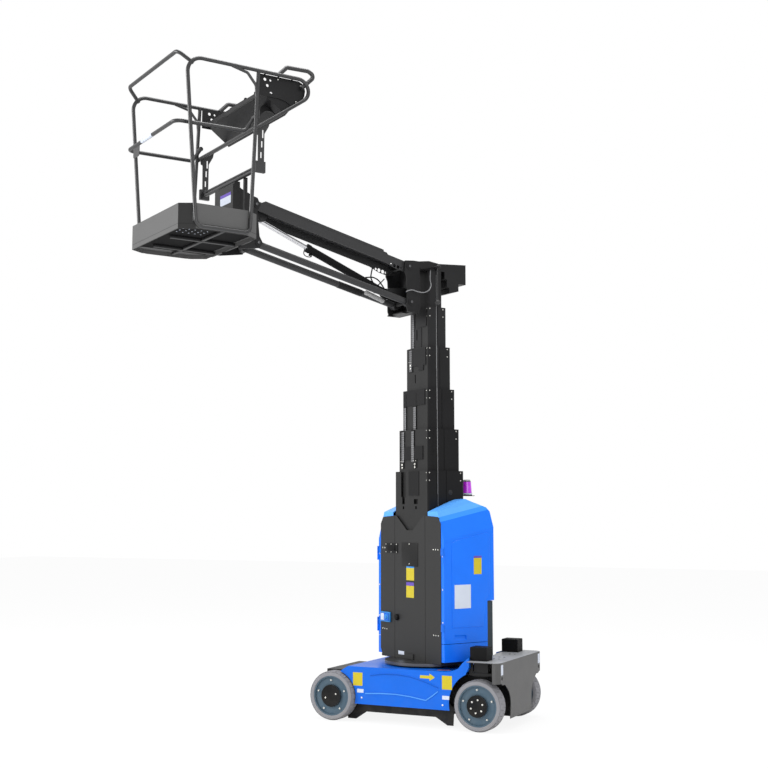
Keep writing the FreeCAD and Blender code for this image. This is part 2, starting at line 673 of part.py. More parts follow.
def mast_head():
    """Head on the innermost section, with cheeks in front of the mast for the jib's pivots."""
    half, front, rear = section_size(SECTION_COUNT - 1)
    foot = SECTION_TOPS[-1]
    outer = CHEEK_V + CHEEK_T
    cap = prism(
        [(-57, foot), (-57, 3914), (40, 3926), (90, 3920), (HEAD_FRONT + 8, 3908), (HEAD_FRONT + 8, foot)],
        "y", -half - 8, half + 8,
    )
    saddle = box(rear, HEAD_FRONT + 8, -half, half, foot, foot + 40)
    back = box(HEAD_FRONT, HEAD_FRONT + 8, -outer, outer, 3458, HEAD_TOP - 8)
    sole = box(HEAD_FRONT, 292, -outer - 8, outer + 8, 3450, 3460)
    for s in (-1, 1):
        low, high = sorted((s * (LINK_V - LINK_R - 6), s * CHEEK_V))
        sole = sole.cut(box(LINK_U - 4, 293, low, high, 3449, 3461))
    pieces = [cap, saddle, back, sole]
    outline = [
        (HEAD_FRONT, 3455), (HEAD_FRONT, HEAD_TOP - 8), (230, HEAD_TOP - 8), (314, 3896), (318, 3800),
        (300, 3760), (292, 3640), (300, 3580), (298, 3490), (286, 3455),
    ]
    for s in (-1, 1):
        low, high = sorted((s * CHEEK_V, s * outer))
        pieces.append(prism(outline, "y", low, high))
    for u, z in ((JIB_U, JIB_Z), (LINK_U, LINK_Z)):
        pieces.append(rod(V(u, -outer - 6, z), V(u, outer + 6, z), PIN_R))
        for s in (-1, 1):
            pieces.append(rod(V(u, s * outer, z), V(u, s * (outer + 4), z), 30))
    lug = [
        (HEAD_FRONT + 4, 3560), (HEAD_FRONT + 4, 3680), (400, 3662), (448, 3640), (456, 3618),
        (440, 3594), (400, 3580),
    ]
    base_u, base_z = CYLINDER_BASE
    for s in (-1, 1):
        low, high = sorted((s * BASE_LUG_V, s * (BASE_LUG_V + LUG_T)))
        pieces.append(prism(lug, "y", low, high))
    pin_end = BASE_LUG_V + LUG_T + 8
    pieces.append(rod(V(base_u, -pin_end, base_z), V(base_u, pin_end, base_z), CYLINDER_PIN_R))
    tray = prism(
        [
            (-57, foot), (-57, 3914), (-367, 3936), (-367, 3757), (-287, 3757), (-287, 3690),
            (-184, 3664), (-184, 3710), (-159, 3716), (-159, 3782), (-134, 3788), (-134, foot),
        ],
        "y", -112, 112,
    )
    pieces.append(tray)
    ball = Part.makeSphere(24, V(-42, half + 30, 3876))
    pieces.append(rod(V(-42, half, 3890), V(-42, half + 30, 3890), 8))
    pieces.append(ball)
    return joined(pieces)


# Jib

def at_jib(along, offset, base_u=JIB_U, base_z=JIB_Z):
    """Point in the turret's u and z at a length along the jib and above its line."""
    c = math.cos(math.radians(JIB_ANGLE))
    s = math.sin(math.radians(JIB_ANGLE))
    return base_u + along * c - offset * s, base_z + along * s + offset * c


def jib_beam():
    """Upper jib beam: two webs and two cable trays with a bay for the cylinder, and a boss at each pivot."""
    deep = BEAM_DEPTH / 2
    body_line = [
        (-34, -22), (-34, 22), (-14, deep), (JIB_LENGTH + 14, deep), (JIB_LENGTH + 34, 22),
        (JIB_LENGTH + 34, -22), (JIB_LENGTH + 14, -deep), (230, -deep), (130, -deep - ROOT_DROP), (40, -deep - ROOT_DROP),
        (-14, -deep),
    ]
    body = prism([at_jib(a, b) for a, b in body_line], "y", -BEAM_HALF, BEAM_HALF)
    top = deep - BEAM_WALL
    side = BEAM_HALF - BEAM_WALL
    inner = [at_jib(a, b) for a, b in [(-60, -200), (-60, top), (JIB_LENGTH + 60, top), (JIB_LENGTH + 60, -200)]]
    body = body.cut(prism(inner, "y", -side, side))
    tray_line = [
        (200, deep - 1), (225, deep + TRAY_H - 14), (255, deep + TRAY_H - 14), (262, deep + TRAY_H),
        (JIB_LENGTH - 90, deep + TRAY_H), (JIB_LENGTH - 60, deep + 8), (JIB_LENGTH + 20, deep + 8),
        (JIB_LENGTH + 20, deep - 1),
    ]
    tray = prism([at_jib(a, b) for a, b in tray_line], "y", -BEAM_HALF + 14, BEAM_HALF - 14)
    hollow_line = [
        (250, deep - 2), (284, deep + TRAY_H - 5), (JIB_LENGTH - 96, deep + TRAY_H - 5), (JIB_LENGTH - 70, deep - 2),
    ]
    tray = tray.cut(prism([at_jib(a, b) for a, b in hollow_line], "y", -BEAM_HALF + 18, BEAM_HALF - 18))
    above = deep + TRAY_H + 1
    for start, end, half in ((60, 1325, BAY_HALF), (1320, 1470, EYE_LUG_V - 0.5)):
        bay = [at_jib(a, b) for a, b in [(start, top - 1), (start, above), (end, above), (end, top - 1)]]
        body = body.cut(prism(bay, "y", -half, half))
        tray = tray.cut(prism(bay, "y", -half, half))
    pieces = [body, tray]
    for along in (0.0, JIB_LENGTH):
        u, z = at_jib(along, 0)
        for s in (-1, 1):
            low, high = sorted((s * (side - 12), s * (BEAM_HALF + 6)))
            pieces.append(rod(V(u, low, z), V(u, high, z), 30))
    for s in (-1, 1):
        low, high = sorted((s * EYE_LUG_V, s * (EYE_LUG_V + LUG_T)))
        lug_line = [(1330, top + 1), (1366, -62), (1384, -78), (1408, -82), (1430, -70), (1440, -50), (1460, top + 1)]
        pieces.append(prism([at_jib(a, b) for a, b in lug_line], "y", low, high))
        u, z = CYLINDER_EYE
        pieces.append(rod(V(u, s * EYE_LUG_V, z), V(u, s * (EYE_LUG_V + LUG_T + 7), z), CYLINDER_PIN_R))
    body = joined(pieces)
    bores = []
    for along in (0.0, JIB_LENGTH):
        u, z = at_jib(along, 0)
        bores.append(rod(V(u, -BEAM_HALF - 8, z), V(u, BEAM_HALF + 8, z), PIN_R + 0.05))
    for along, radius in ((58, 13), (92, 17), (132, 17), (166, 11)):
        u, z = at_jib(along, 1 - deep)
        bores.append(rod(V(u, -BEAM_HALF - 1, z), V(u, BEAM_HALF + 1, z), radius))
    return body.cut(bores)


def jib_links():
    """Pair of lower jib tubes with their pivot eyes."""
    pieces = []
    for s in (-1, 1):
        a = at_jib(0, 0, LINK_U, LINK_Z)
        b = at_jib(JIB_LENGTH, 0, LINK_U, LINK_Z)
        v = s * LINK_V
        bar = rod(V(a[0], v, a[1]), V(b[0], v, b[1]), LINK_R)
        eyes = [rod(V(p[0], v - 31, p[1]), V(p[0], v + 31, p[1]), 37) for p in (a, b)]
        bar = joined([bar] + eyes)
        holes = [rod(V(p[0], v - 60, p[1]), V(p[0], v + 60, p[1]), PIN_R + 0.05) for p in (a, b)]
        pieces.append(bar.cut(holes))
    return Part.makeCompound(pieces)


def cylinder_point(along):
    """Point on the jib cylinder's line at a length from its base pin."""
    du = CYLINDER_EYE[0] - CYLINDER_BASE[0]
    dz = CYLINDER_EYE[1] - CYLINDER_BASE[1]
    length = math.hypot(du, dz)
    return V(CYLINDER_BASE[0] + du * along / length, 0, CYLINDER_BASE[1] + dz * along / length)


def jib_barrel():
    """Barrel of the jib's lift cylinder with its gland and oil ports."""
    barrel = rod(cylinder_point(24), cylinder_point(812), CYLINDER_R)
    gland = rod(cylinder_point(800), cylinder_point(832), GLAND_R)
    base_u, base_z = CYLINDER_BASE
    eye_half = BASE_LUG_V - 3.5
    eye = rod(V(base_u, -eye_half, base_z), V(base_u, eye_half, base_z), CYLINDER_R)
    pieces = [barrel, gland, eye]
    for along in (90, 780):
        port = cylinder_point(along)
        pieces.append(rod(port, port + V(18, 0, -44), 11))
    body = joined(pieces).cut(rod(V(base_u, -60, base_z), V(base_u, 60, base_z), CYLINDER_PIN_R + 0.05))
    return body.cut(rod(cylinder_point(60), cylinder_point(840), ROD_R + 0.05))


def jib_rod():
    """Rod of the jib's lift cylinder with its eye."""
    length = math.hypot(CYLINDER_EYE[0] - CYLINDER_BASE[0], CYLINDER_EYE[1] - CYLINDER_BASE[1])
    bar = rod(cylinder_point(ROD_INNER), cylinder_point(length - 10), ROD_R)
    half = EYE_LUG_V - 4
    eye = rod(V(CYLINDER_EYE[0], -half, CYLINDER_EYE[1]), V(CYLINDER_EYE[0], half, CYLINDER_EYE[1]), 28)
    return joined([bar, eye])


# Basket

def pan_outline(inset):
    """Plan of the basket's pan with cut corners."""
    f = PAN_FRONT - inset
    r = PAN_REAR + inset
    h = PAN_HALF - inset
    c = PAN_CORNER_U
    d = PAN_CORNER_V
    return [
        (f, -h + d), (f, h - d), (f - c, h), (r + c, h), (r, h - d),
        (r, -h + d), (r + c, -h), (f - c, -h),
    ]


def pan_block(inset):
    """Whole volume inside the pan's outline."""
    return prism(pan_outline(inset), "z", PAN_BOTTOM, PAN_TOP)


def basket_pan():
    """Floor and toe boards."""
    body = pan_block(0)
    body = body.cut(prism(pan_outline(PAN_SKIN), "z", FLOOR_Z, PAN_TOP + 1))
    body = body.cut(prism(pan_outline(PAN_SKIN), "z", PAN_BOTTOM - 1, FLOOR_Z - 10))
    return body


def side_frame():
    """Tube loop on the basket's left side: rounded nose, leaning front post, brace and hand grip."""
    v = FRAME_V
    loop = [
        V(1965, v, 4671), V(SHOULDER_U, v, SHOULDER_Z), V(NOSE_U, v, NOSE_Z), V(2449, v, 3844),
        V(2003, v, 3844), V(1983, v, 4300),
    ]
    pieces = [tube(loop, RAIL_R, [90, 120, 60, 50])]
    pieces.append(rod(V(1983, v, 4300), V(1945.7, v, 5131), RAIL_R - 0.3))
    brace = [V(2170, v, 5124), V(2040, v, 5096), V(1966, v, 5010), V(1956, v, 4880)]
    pieces.append(tube(brace, 11, [30, 40]))
    grip = [
        V(1770, GRIP_V, 5132), V(1690, GRIP_V, 5213), V(1500, GRIP_V, 5221), V(1436, GRIP_V, 5190),
        V(1560, GRIP_V, 5068),
    ]
    pieces.append(tube(grip, GRIP_R, [30, 30, 30]))
    bracket = prism(
        [
            (1820, 4786), (1930, 4708), (1948, 4690), (1945, 4640), (1928, 4632), (1926, 4350),
            (1874, 4350), (1872, 4648), (1834, 4716),
        ],
        "y", PLATE_V - 3, PLATE_V + 3,
    )
    slots = [
        box(1880, 1892, 400, 600, 4614, 4678),
        box(1888, 1900, 400, 600, 4538, 4589),
        box(1894, 1906, 400, 600, 4453, 4501),
    ]
    pieces.append(bracket.cut(slots))
    pieces.append(box(1866, 1950, PLATE_V - 14, PLATE_V + 14, 4338, 4424))
    pieces.append(rod(V(1900, PLATE_V - 3, 4726), V(1900, v, 4716), 9))
    return joined(pieces)


def top_rail(side, radius):
    """Straight run of a side frame's upper tube, at a chosen radius."""
    v = side * FRAME_V
    return rod(V(SHOULDER_U, v, SHOULDER_Z), V(NOSE_U, v, NOSE_Z), radius)


def basket_rails():
    """Both side frames, the raised front rail and the cross tubes at the tail."""
    v = FRAME_V
    left = side_frame()
    front = tube(
        [V(2492, -v, 5080), V(2600, -480, 5170), V(2600, 480, 5170), V(2492, v, 5080)],
        RAIL_R, [60, 60],
    )
    upper = rod(V(1946, -v + 3, 4690), V(1946, v - 3, 4690), RAIL_R - 0.5)
    lower = tube(
        [V(1905, -PLATE_V, 4420), V(CROSS_U, -430, CROSS_Z), V(CROSS_U, 430, CROSS_Z), V(1905, PLATE_V, 4420)],
        RAIL_R, [50, 50],
    )
    second = rod(V(1915, -PLATE_V, 4396), V(1915, PLATE_V, 4396), 9)
    toes = [box(1986, 2012, -v, -PAN_HALF, 3880, 3960), box(1986, 2012, PAN_HALF, v, 3880, 3960)]
    for s in (-1, 1):
        low, high = sorted((s * (PAN_HALF - 22), s * v))
        toes.append(box(2440, 2466, low, high, 3880, 3960).cut(pan_block(0)))
    return joined([left, mirrored(left), front, upper, lower, second] + toes)


def basket_mount():
    """Rear plate, posts and the bracket that carries the basket on the jib's two pivots."""
    tip = at_jib(JIB_LENGTH, 0)
    low = at_jib(JIB_LENGTH, 0, LINK_U, LINK_Z)
    face = PAN_REAR - 12
    outline = [
        (PAN_REAR, PAN_BOTTOM - 24), (PAN_REAR, 4300), (tip[0] + 30, tip[1] + 62), (tip[0] - 8, tip[1] + 52),
        (tip[0] - 36, tip[1]), (tip[0] - 8, tip[1] - 60), (low[0] - 10, low[1] + 52),
        (low[0] - 40, low[1]), (low[0] - 8, low[1] - 44),
    ]
    outer = CHEEK_V + CHEEK_T
    pieces = [box(face, PAN_REAR, -outer, outer, 4010, 4300)]
    for s in (-1, 1):
        a, b = sorted((s * CHEEK_V, s * outer))
        pieces.append(prism(outline, "y", a, b))
        for pivot in (tip, low):
            pieces.append(rod(V(pivot[0], s * outer, pivot[1]), V(pivot[0], s * (outer + 5), pivot[1]), 30))
    pieces.append(box(face, PAN_REAR, -350, 350, PAN_BOTTOM, 4020))
    for s in (-1, 1):
        v = s * 252
        post = box(face, PAN_REAR + 12, v - 14, v + 14, PAN_TOP, CROSS_Z - 8)
        pieces.append(post.cut(rod(V(CROSS_U, v - 20, CROSS_Z), V(CROSS_U, v + 20, CROSS_Z), RAIL_R + 0.2)))
    pieces += [rod(V(p[0], -outer - 8, p[1]), V(p[0], outer + 8, p[1]), PIN_R) for p in (tip, low)]
    return joined(pieces)


def gate_bar():
    """Drop bar round three sides of the basket, hinged on the rear posts."""
    v = GATE_V
    bar = tube(
        [V(1955, -v, 4765), V(2030, -v, 4650), V(2600, -v + 12, 4640), V(2600, v - 12, 4640),
         V(2030, v, 4650), V(1955, v, 4765)],
        RAIL_R, [50, 60, 60, 50],
    )
    ends = []
    for s in (-1, 1):
        ends.append(rod(V(1955, s * (v - 10), 4765), V(1955, s * (FRAME_V - RAIL_R - 0.4), 4765), 18))
    hook = prism([(-345, 4552), (-345, 4628), (-225, 4628), (-225, 4552), (-240, 4540), (-330, 4540)],
                 "x", 2598, 2603)
    return joined([bar, hook] + ends)


def console():
    """Control tray between the two nose loops, with a holed plate on each side."""
    outer = PLATE_V + 21
    tray = prism(
        [
            (1600, 4938), (1584, 4990), (1584, 5060), (1592, 5060), (1598, 4996), (1604, 4950),
            (1716, 4962), (1880, 5000), (1900, 4996), (1898, 4984), (1724, 4860), (1690, 4830),
        ],
        "y", -PLATE_V + 3, PLATE_V - 3,
    )
    lip = box(1886, 1904, -PLATE_V + 3, 420, 4968, 4998)
    pieces = [tray, lip]
    plate_line = [
        (1514, 5060), (1530, 5110), (1575, 5128), (1938, 5124), (1940, 4954), (1749, 4954),
        (1686, 4942), (1632, 4912), (1560, 4962), (1522, 5010),
    ]
    holes = [
        (1873, 5087, 13), (1825, 5086, 9), (1851, 5041, 12), (1818, 4984, 12),
    ]
    for s in (-1, 1):
        a, b = sorted((s * (PLATE_V - 3), s * (PLATE_V + 3)))
        plate = prism(plate_line, "y", a, b)
        for u, z, radius in holes:
            plate = plate.cut(rod(V(u, a - 1, z), V(u, b + 1, z), radius))
        pieces.append(plate)
        for u, z in ((1640, 5122), (1880, 5118)):
            peg = rod(V(u, s * PLATE_V, z), V(u, s * (FRAME_V - 2), z + 10), 6)
            pieces.append(peg.cut(top_rail(s, RAIL_R + 0.3)))
    arc = band((1711, 4870), (1800, 4905), (1861, 4840), 60, "y", 384, 398)
    knob = Part.makeSphere(14, V(1808, 384, 4893))
    return joined(pieces + [arc, knob])


def control_box():
    """Control box on the console, with two levers and a stop button."""
    body = prism(
        [(1640, 4954.2), (1640, 5058), (1668, 5064), (1856, 5040), (1856, 4994.8), (1716, 4962.3)],
        "y", -150, 150,
    )
    pieces = [body]
    for v in (-90, 90):
        pieces.append(rod(V(1740, v, 5040), V(1740, v, 5120), 8))
        pieces.append(Part.makeSphere(15, V(1740, v, 5122)))
    pieces.append(rod(V(1800, 0, 5040), V(1800, 0, 5068), 20))
    return joined(pieces)


def document_box():
    """Closed box with a slanted lid on the basket's rear plate."""
    return prism(
        [(PAN_REAR, 4120), (PAN_REAR, 4344), (PAN_REAR + 36, 4344), (PAN_REAR + 62, 4318), (PAN_REAR + 62, 4120)],
        "y", -168, 160,
    )


CHASSIS_NODES = {
    "chassis_frame": chassis_frame,
    "steer_frame": steer_frame,
    "chassis_cover": chassis_cover,
    "steer_end_cover": steer_end_cover,
    "pin_boxes": pin_boxes,
    "belly_skirt": belly_skirt,
    "slew_ring": slew_ring,
    "tie_rod": tie_rod,
}
TURRET_NODES = {
    "turret_frame": turret_frame,
    "counterweight": counterweight,
    "battery_block": battery_block,
    "door_left": door,
    "lower_skirts": lower_skirts,
    "beacon": beacon,
    "mast_head": mast_head,
    "jib_beam": jib_beam,
    "jib_links": jib_links,
    "jib_barrel": jib_barrel,
    "jib_rod": jib_rod,
    "basket_pan": basket_pan,
    "basket_rails": basket_rails,
    "basket_mount": basket_mount,
    "gate_bar": gate_bar,
    "console": console,
    "control_box": control_box,
    "document_box": document_box,
}


def build():
    """Write every node."""
    os.makedirs("parts", exist_ok=True)
    wheels()
    for side in SIDES:
        save("knuckle_" + side["name"], on_chassis(knuckle(side["sign"])))
    for name, make in CHASSIS_NODES.items():
        save(name, on_chassis(make()))
    for name, make in TURRET_NODES.items():
        save(name, on_turret(make()))
    save("door_right", on_turret(mirrored(door())))
    for index in range(SECTION_COUNT):
        save("mast_section_" + str(index + 1), on_turret(mast_section(index)))


build()
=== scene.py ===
"""Vertical mast lift: finishes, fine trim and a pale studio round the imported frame."""
from __future__ import annotations

import json
import logging
import math
from collections.abc import Callable
from dataclasses import dataclass, field
from enum import Enum

import bpy
from mathutils import Matrix, Vector

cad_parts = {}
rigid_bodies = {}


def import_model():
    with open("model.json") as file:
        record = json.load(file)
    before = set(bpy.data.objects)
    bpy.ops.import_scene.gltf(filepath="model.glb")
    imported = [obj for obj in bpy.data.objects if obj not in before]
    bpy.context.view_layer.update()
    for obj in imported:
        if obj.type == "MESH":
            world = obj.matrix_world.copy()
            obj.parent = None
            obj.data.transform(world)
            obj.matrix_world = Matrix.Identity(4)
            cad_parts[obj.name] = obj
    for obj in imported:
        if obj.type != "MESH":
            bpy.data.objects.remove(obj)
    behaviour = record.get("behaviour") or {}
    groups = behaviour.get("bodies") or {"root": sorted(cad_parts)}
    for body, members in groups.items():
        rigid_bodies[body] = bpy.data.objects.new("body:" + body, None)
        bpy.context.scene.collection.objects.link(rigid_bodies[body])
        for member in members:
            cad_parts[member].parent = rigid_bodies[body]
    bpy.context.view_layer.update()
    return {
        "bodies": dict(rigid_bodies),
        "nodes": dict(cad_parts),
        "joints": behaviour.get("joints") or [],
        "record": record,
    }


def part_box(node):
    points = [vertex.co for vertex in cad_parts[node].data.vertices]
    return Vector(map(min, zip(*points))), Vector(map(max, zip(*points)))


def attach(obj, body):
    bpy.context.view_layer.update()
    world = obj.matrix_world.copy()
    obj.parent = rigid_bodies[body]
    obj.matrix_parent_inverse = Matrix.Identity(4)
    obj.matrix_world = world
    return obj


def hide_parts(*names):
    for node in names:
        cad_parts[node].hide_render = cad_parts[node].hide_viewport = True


Triple = tuple[float, float, float]
Pair = tuple[float, float]
Head = tuple[Triple, Triple, float, float]

LOG = logging.getLogger("mast_lift")
SLEW_DEG = -120.6
SLEW_AXIS: Pair = (0.4536, 0.966)
AHEAD: Triple = (1.0, 0.0, 0.0)
UP: Triple = (0.0, 0.0, 1.0)
DOWN: Triple = (0.0, 0.0, -1.0)
SIDES = ((-1, "right"), (1, "left"))
STICKER_DEPTH = 0.0008
STICKER_EDGE = 0.00035
SMOOTH_ANGLE = math.radians(35)


def srgb(red: int, green: int, blue: int) -> Triple:
    """Linear colour of a screen colour.

    Args:
        red: red from 0 to 255.
        green: green from 0 to 255.
        blue: blue from 0 to 255.

    Returns:
        The colour as three linear values.
    """
    def linear(value: int) -> float:
        part = value / 255
        return part / 12.92 if part <= 0.04045 else ((part + 0.055) / 1.055) ** 2.4
    return linear(red), linear(green), linear(blue)


class Side(Enum):
    """Which of the two rigid frames a place is given in."""

    CHASSIS = "chassis"
    TURRET = "turret"


@dataclass(frozen=True)
class Ground:
    """A frame standing on the slew axis, turned about the vertical."""

    origin: Vector
    turn: float

    def point(self, a: float, b: float, z: float) -> Vector:
        """Row-frame point of a place in this frame."""
        return self.matrix() @ Vector((a, b, z))

    def matrix(self) -> Matrix:
        """Matrix from this frame to the row frame."""
        return Matrix.Translation(self.origin) @ Matrix.Rotation(self.turn, 4, "Z")

    def facing(self, place: Triple, normal: Triple, spin: float = 0.0) -> Matrix:
        """Matrix that stands a piece made along +Z on a place, with its axis along the normal.

        Args:
            place: the point in this frame.
            normal: the direction that +Z turns to, in this frame.
            spin: turn about that direction, in radians.

        Returns:
            A matrix to the row frame.
        """
        turn = Vector(normal).to_track_quat("Z", "Y").to_matrix().to_4x4()
        return self.matrix() @ Matrix.Translation(place) @ turn @ Matrix.Rotation(spin, 4, "Z")


def grounds() -> dict[Side, Ground]:
    """Both frames, from the slew ring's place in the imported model."""
    low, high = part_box("slew_ring")
    centre = Vector(((low[0] + high[0]) / 2, (low[1] + high[1]) / 2, 0.0))
    return {
        Side.CHASSIS: Ground(centre, 0.0),
        Side.TURRET: Ground(centre, math.radians(SLEW_DEG)),
    }


@dataclass
class Value:
    """A number output of a shader node, with Python's operators."""

    board: "Board"
    socket: bpy.types.NodeSocket

    def _maths(self, operation: str, other: "Value | float", swap: bool = False) -> "Value":
        first, second = (other, self) if swap else (self, other)
        return self.board.value("ShaderNodeMath", {"operation": operation}, {0: first, 1: second})

    def __add__(self, other: "Value | float") -> "Value":
        """Sum."""
        return self._maths("ADD", other)

    def __radd__(self, other: float) -> "Value":
        """Sum with a number on the left."""
        return self._maths("ADD", other, True)

    def __sub__(self, other: "Value | float") -> "Value":
        """Difference."""
        return self._maths("SUBTRACT", other)

    def __rsub__(self, other: float) -> "Value":
        """Difference from a number."""
        return self._maths("SUBTRACT", other, True)

    def __mul__(self, other: "Value | float") -> "Value":
        """Product."""
        return self._maths("MULTIPLY", other)

    def above(self, limit: float) -> "Value":
        """One where the value is above the limit."""
        return self._maths("GREATER_THAN", limit)


class Board:
    """The nodes of one material."""

    def __init__(self, name: str) -> None:
        """Start an empty material of the given name."""
        self.material = bpy.data.materials.new(name)
        self.material.use_nodes = True
        self.tree = self.material.node_tree
        self.tree.nodes.clear()

    def node(self, kind: str, settings: dict[str, object], inputs: dict[object, object]) -> bpy.types.Node:
        """Add a node.

        Args:
            kind: the node's type name.
            settings: its properties, set first.
            inputs: values or links of its sockets.

        Returns:
            The new node.
        """
        made = self.tree.nodes.new(kind)
        for key, value in settings.items():
            setattr(made, key, value)
        for key, value in inputs.items():
            socket = made.inputs[key]
            if isinstance(value, Value):
                self.tree.links.new(value.socket, socket)
            elif isinstance(value, bpy.types.NodeSocket):
                self.tree.links.new(value, socket)
            else:
                socket.default_value = value
        return made

    def value(
        self, kind: str, settings: dict[str, object], inputs: dict[object, object], output: object = 0,
    ) -> Value:
        """Add a node and take one of its outputs as a value."""
        return Value(self, self.node(kind, settings, inputs).outputs[output])

    def place(self) -> bpy.types.NodeSocket:
        """Object coordinates, which for these pieces are row-frame metres."""
        return self.node("ShaderNodeTexCoord", {}, {}).outputs["Object"]

    def noise(self, scale: float, detail: float = 3.0) -> Value:
        """Smooth noise at a scale in waves per metre."""
        return self.value(
            "ShaderNodeTexNoise", {}, {"Vector": self.place(), "Scale": scale, "Detail": detail}, "Fac",
        )

    def along(self, way: Triple) -> Value:
        """Distance of the surface point along a direction, in metres."""
        dot = {"operation": "DOT_PRODUCT"}
        return self.value("ShaderNodeVectorMath", dot, {0: self.place(), 1: way}, "Value")

    def ramp(self, amount: Value, low: float, high: float) -> Value:
        """Value spread from low to high to run from 0 to 1."""
        return self.value(
            "ShaderNodeMapRange", {"clamp": True},
            {"Value": amount, "From Min": low, "From Max": high},
        )

    def blend(self, amount: Value, first: object, second: object) -> bpy.types.NodeSocket:
        """Mix of two colours."""
        pair = [c if isinstance(c, bpy.types.NodeSocket) else (*c, 1.0) for c in (first, second)]
        made = self.node("ShaderNodeMix", {"data_type": "RGBA"}, {"Factor": amount, 6: pair[0], 7: pair[1]})
        return made.outputs[2]

    def finish(self, shader: bpy.types.Node) -> bpy.types.Material:
        """Link the shader to the output and return the material."""
        out = self.node("ShaderNodeOutputMaterial", {}, {})
        self.tree.links.new(shader.outputs[0], out.inputs["Surface"])
        return self.material


DUST = srgb(150, 140, 125)
CLOUD_SPAN: Pair = (0.3, 0.7)
DUST_SPAN: Pair = (0.4, 0.75)
DUST_FOOT = 0.05
DUST_SCALE = 14.0
GLOSS_LIFT = 0.05
CLOUD_ROUGH = 0.06
FINE_ROUGH = 0.04
DUST_ROUGH = 0.3
COAT_ROUGH = 0.08
BUMP_DEPTH = 0.001


@dataclass(frozen=True)
class Band:
    """A flat layer of the object that has another colour, such as one face, a seam or a painted highlight."""

    way: Triple
    low: float
    high: float
    color: Triple


@dataclass(frozen=True)
class Finish:
    """A surface with cloudy colour, uneven gloss, fine grain and thin road dust low down."""

    name: str
    color: Triple
    rough: float = 0.45
    metallic: float = 0.0
    gloss: float = 0.25
    coat: float = 0.0
    cloud: float = 0.08
    cloud_scale: float = 6.0
    grain: float = 0.02
    grain_scale: float = 900.0
    dust: float = 0.0
    dust_top: float = 0.45
    bands: tuple[Band, ...] = ()

    def shade(self) -> bpy.types.Material:
        """Build the material."""
        board = Board(self.name)
        cloud = board.ramp(board.noise(self.cloud_scale), *CLOUD_SPAN)
        color = self.clouded(board, cloud, self.color)
        for band in self.bands:
            level = board.along(band.way)
            inside = level.above(band.low) - level.above(band.high)
            color = board.blend(inside, color, self.clouded(board, cloud, band.color))
        fine = board.noise(self.grain_scale, 1.0)
        rough = self.rough - GLOSS_LIFT + cloud * CLOUD_ROUGH + fine * FINE_ROUGH
        if self.dust:
            low = 1 - board.ramp(board.along(UP), DUST_FOOT, self.dust_top)
            film = low * board.ramp(board.noise(DUST_SCALE, 5.0), *DUST_SPAN) * self.dust
            color = board.blend(film, color, DUST)
            rough = rough + film * DUST_ROUGH
        bump = board.node(
            "ShaderNodeBump", {}, {"Strength": self.grain, "Distance": BUMP_DEPTH, "Height": fine},
        )
        shader = board.node("ShaderNodeBsdfPrincipled", {}, {
            "Base Color": color, "Roughness": rough, "Metallic": self.metallic,
            "Specular IOR Level": self.gloss, "Coat Weight": self.coat, "Coat Roughness": COAT_ROUGH,
            "Normal": bump.outputs[0],
        })
        return board.finish(shader)

    def clouded(self, board: Board, cloud: Value, color: Triple) -> bpy.types.NodeSocket:
        """A colour that drifts a little darker and lighter with the clouds."""
        dark = tuple(c * (1 - self.cloud) for c in color)
        light = tuple(min(1.0, c * (1 + self.cloud)) for c in color)
        return board.blend(cloud, dark, light)


@dataclass(frozen=True)
class StudioFloor:
    """Pale floor that reads white to the camera and still takes a soft shadow."""

    name: str = "studio_floor"
    glow: float = 0.88

    def shade(self) -> bpy.types.Material:
        """Build the material."""
        board = Board(self.name)
        matt = board.node("ShaderNodeBsdfDiffuse", {}, {"Color": (0.9, 0.9, 0.9, 1.0)})
        bright = board.node("ShaderNodeEmission", {}, {"Color": (1.0, 1.0, 1.0, 1.0), "Strength": 1.0})
        seen = board.value("ShaderNodeLightPath", {}, {}, "Is Camera Ray")
        mixed = board.node("ShaderNodeMixShader", {}, {
            0: seen * self.glow, 1: matt.outputs[0], 2: bright.outputs[0],
        })
        return board.finish(mixed)


FACE = srgb(38, 38, 38)
SEA = srgb(0, 92, 198)
# Pale blue of the painted highlight on the lips of the lower folds.
CREST_HIGHLIGHT = srgb(72, 140, 216)
MAST_FRONT = 0.152
MAST_STEP = 0.022
# Tilt of the direction along which the painted highlight on the door shoulders is graded.
SHOULDER_HIGHLIGHT_LEAN = 0.208
PANEL_EDGE: Pair = (0.4503, 0.55)


def turret_band(ahead: float, left: float, low: float, high: float, color: Triple, rise: float = 0.0) -> Band:
    """Layer of the turret between two levels along a direction.

    Args:
        ahead: the direction's part ahead of the turret.
        left: its part to the turret's left.
        low: lower level, measured from the slew axis and the ground.
        high: upper level.
        color: the layer's colour.
        rise: the direction's part upwards.

    Returns:
        The band.
    """
    turn = math.radians(SLEW_DEG)
    c, s = math.cos(turn), math.sin(turn)
    way = (ahead * c - left * s, ahead * s + left * c, rise)
    base = SLEW_AXIS[0] * way[0] + SLEW_AXIS[1] * way[1]
    return Band(way, base + low, base + high, color)


def corner_band(run: float, rise: float, level: float, color: Triple) -> Band:
    """Band on a slanting corner face ahead and to the left of the slew axis.

    Args:
        run: how far the face runs ahead.
        rise: how far it runs to the left.
        level: the face's distance from the slew axis.
        color: the face's colour.

    Returns:
        The band.
    """
    size = math.hypot(run, rise)
    return turret_band(rise / size, run / size, level - 0.001, level + 0.0015, color)


def mast_paint(number: int, color: Triple, gloss: float) -> Finish:
    """Black paint of one mast section, with a paler front face.

    Args:
        number: the section, 1 for the base section.
        color: the paint's colour.
        gloss: its gloss.

    Returns:
        The finish.
    """
    front = MAST_FRONT - MAST_STEP * (number - 1)
    face = turret_band(1.0, 0.0, front - 0.001, front + 0.0005, FACE)
    return Finish(f"mast_paint_{number}", color, rough=0.4, gloss=gloss, cloud=0.06, bands=(face,))


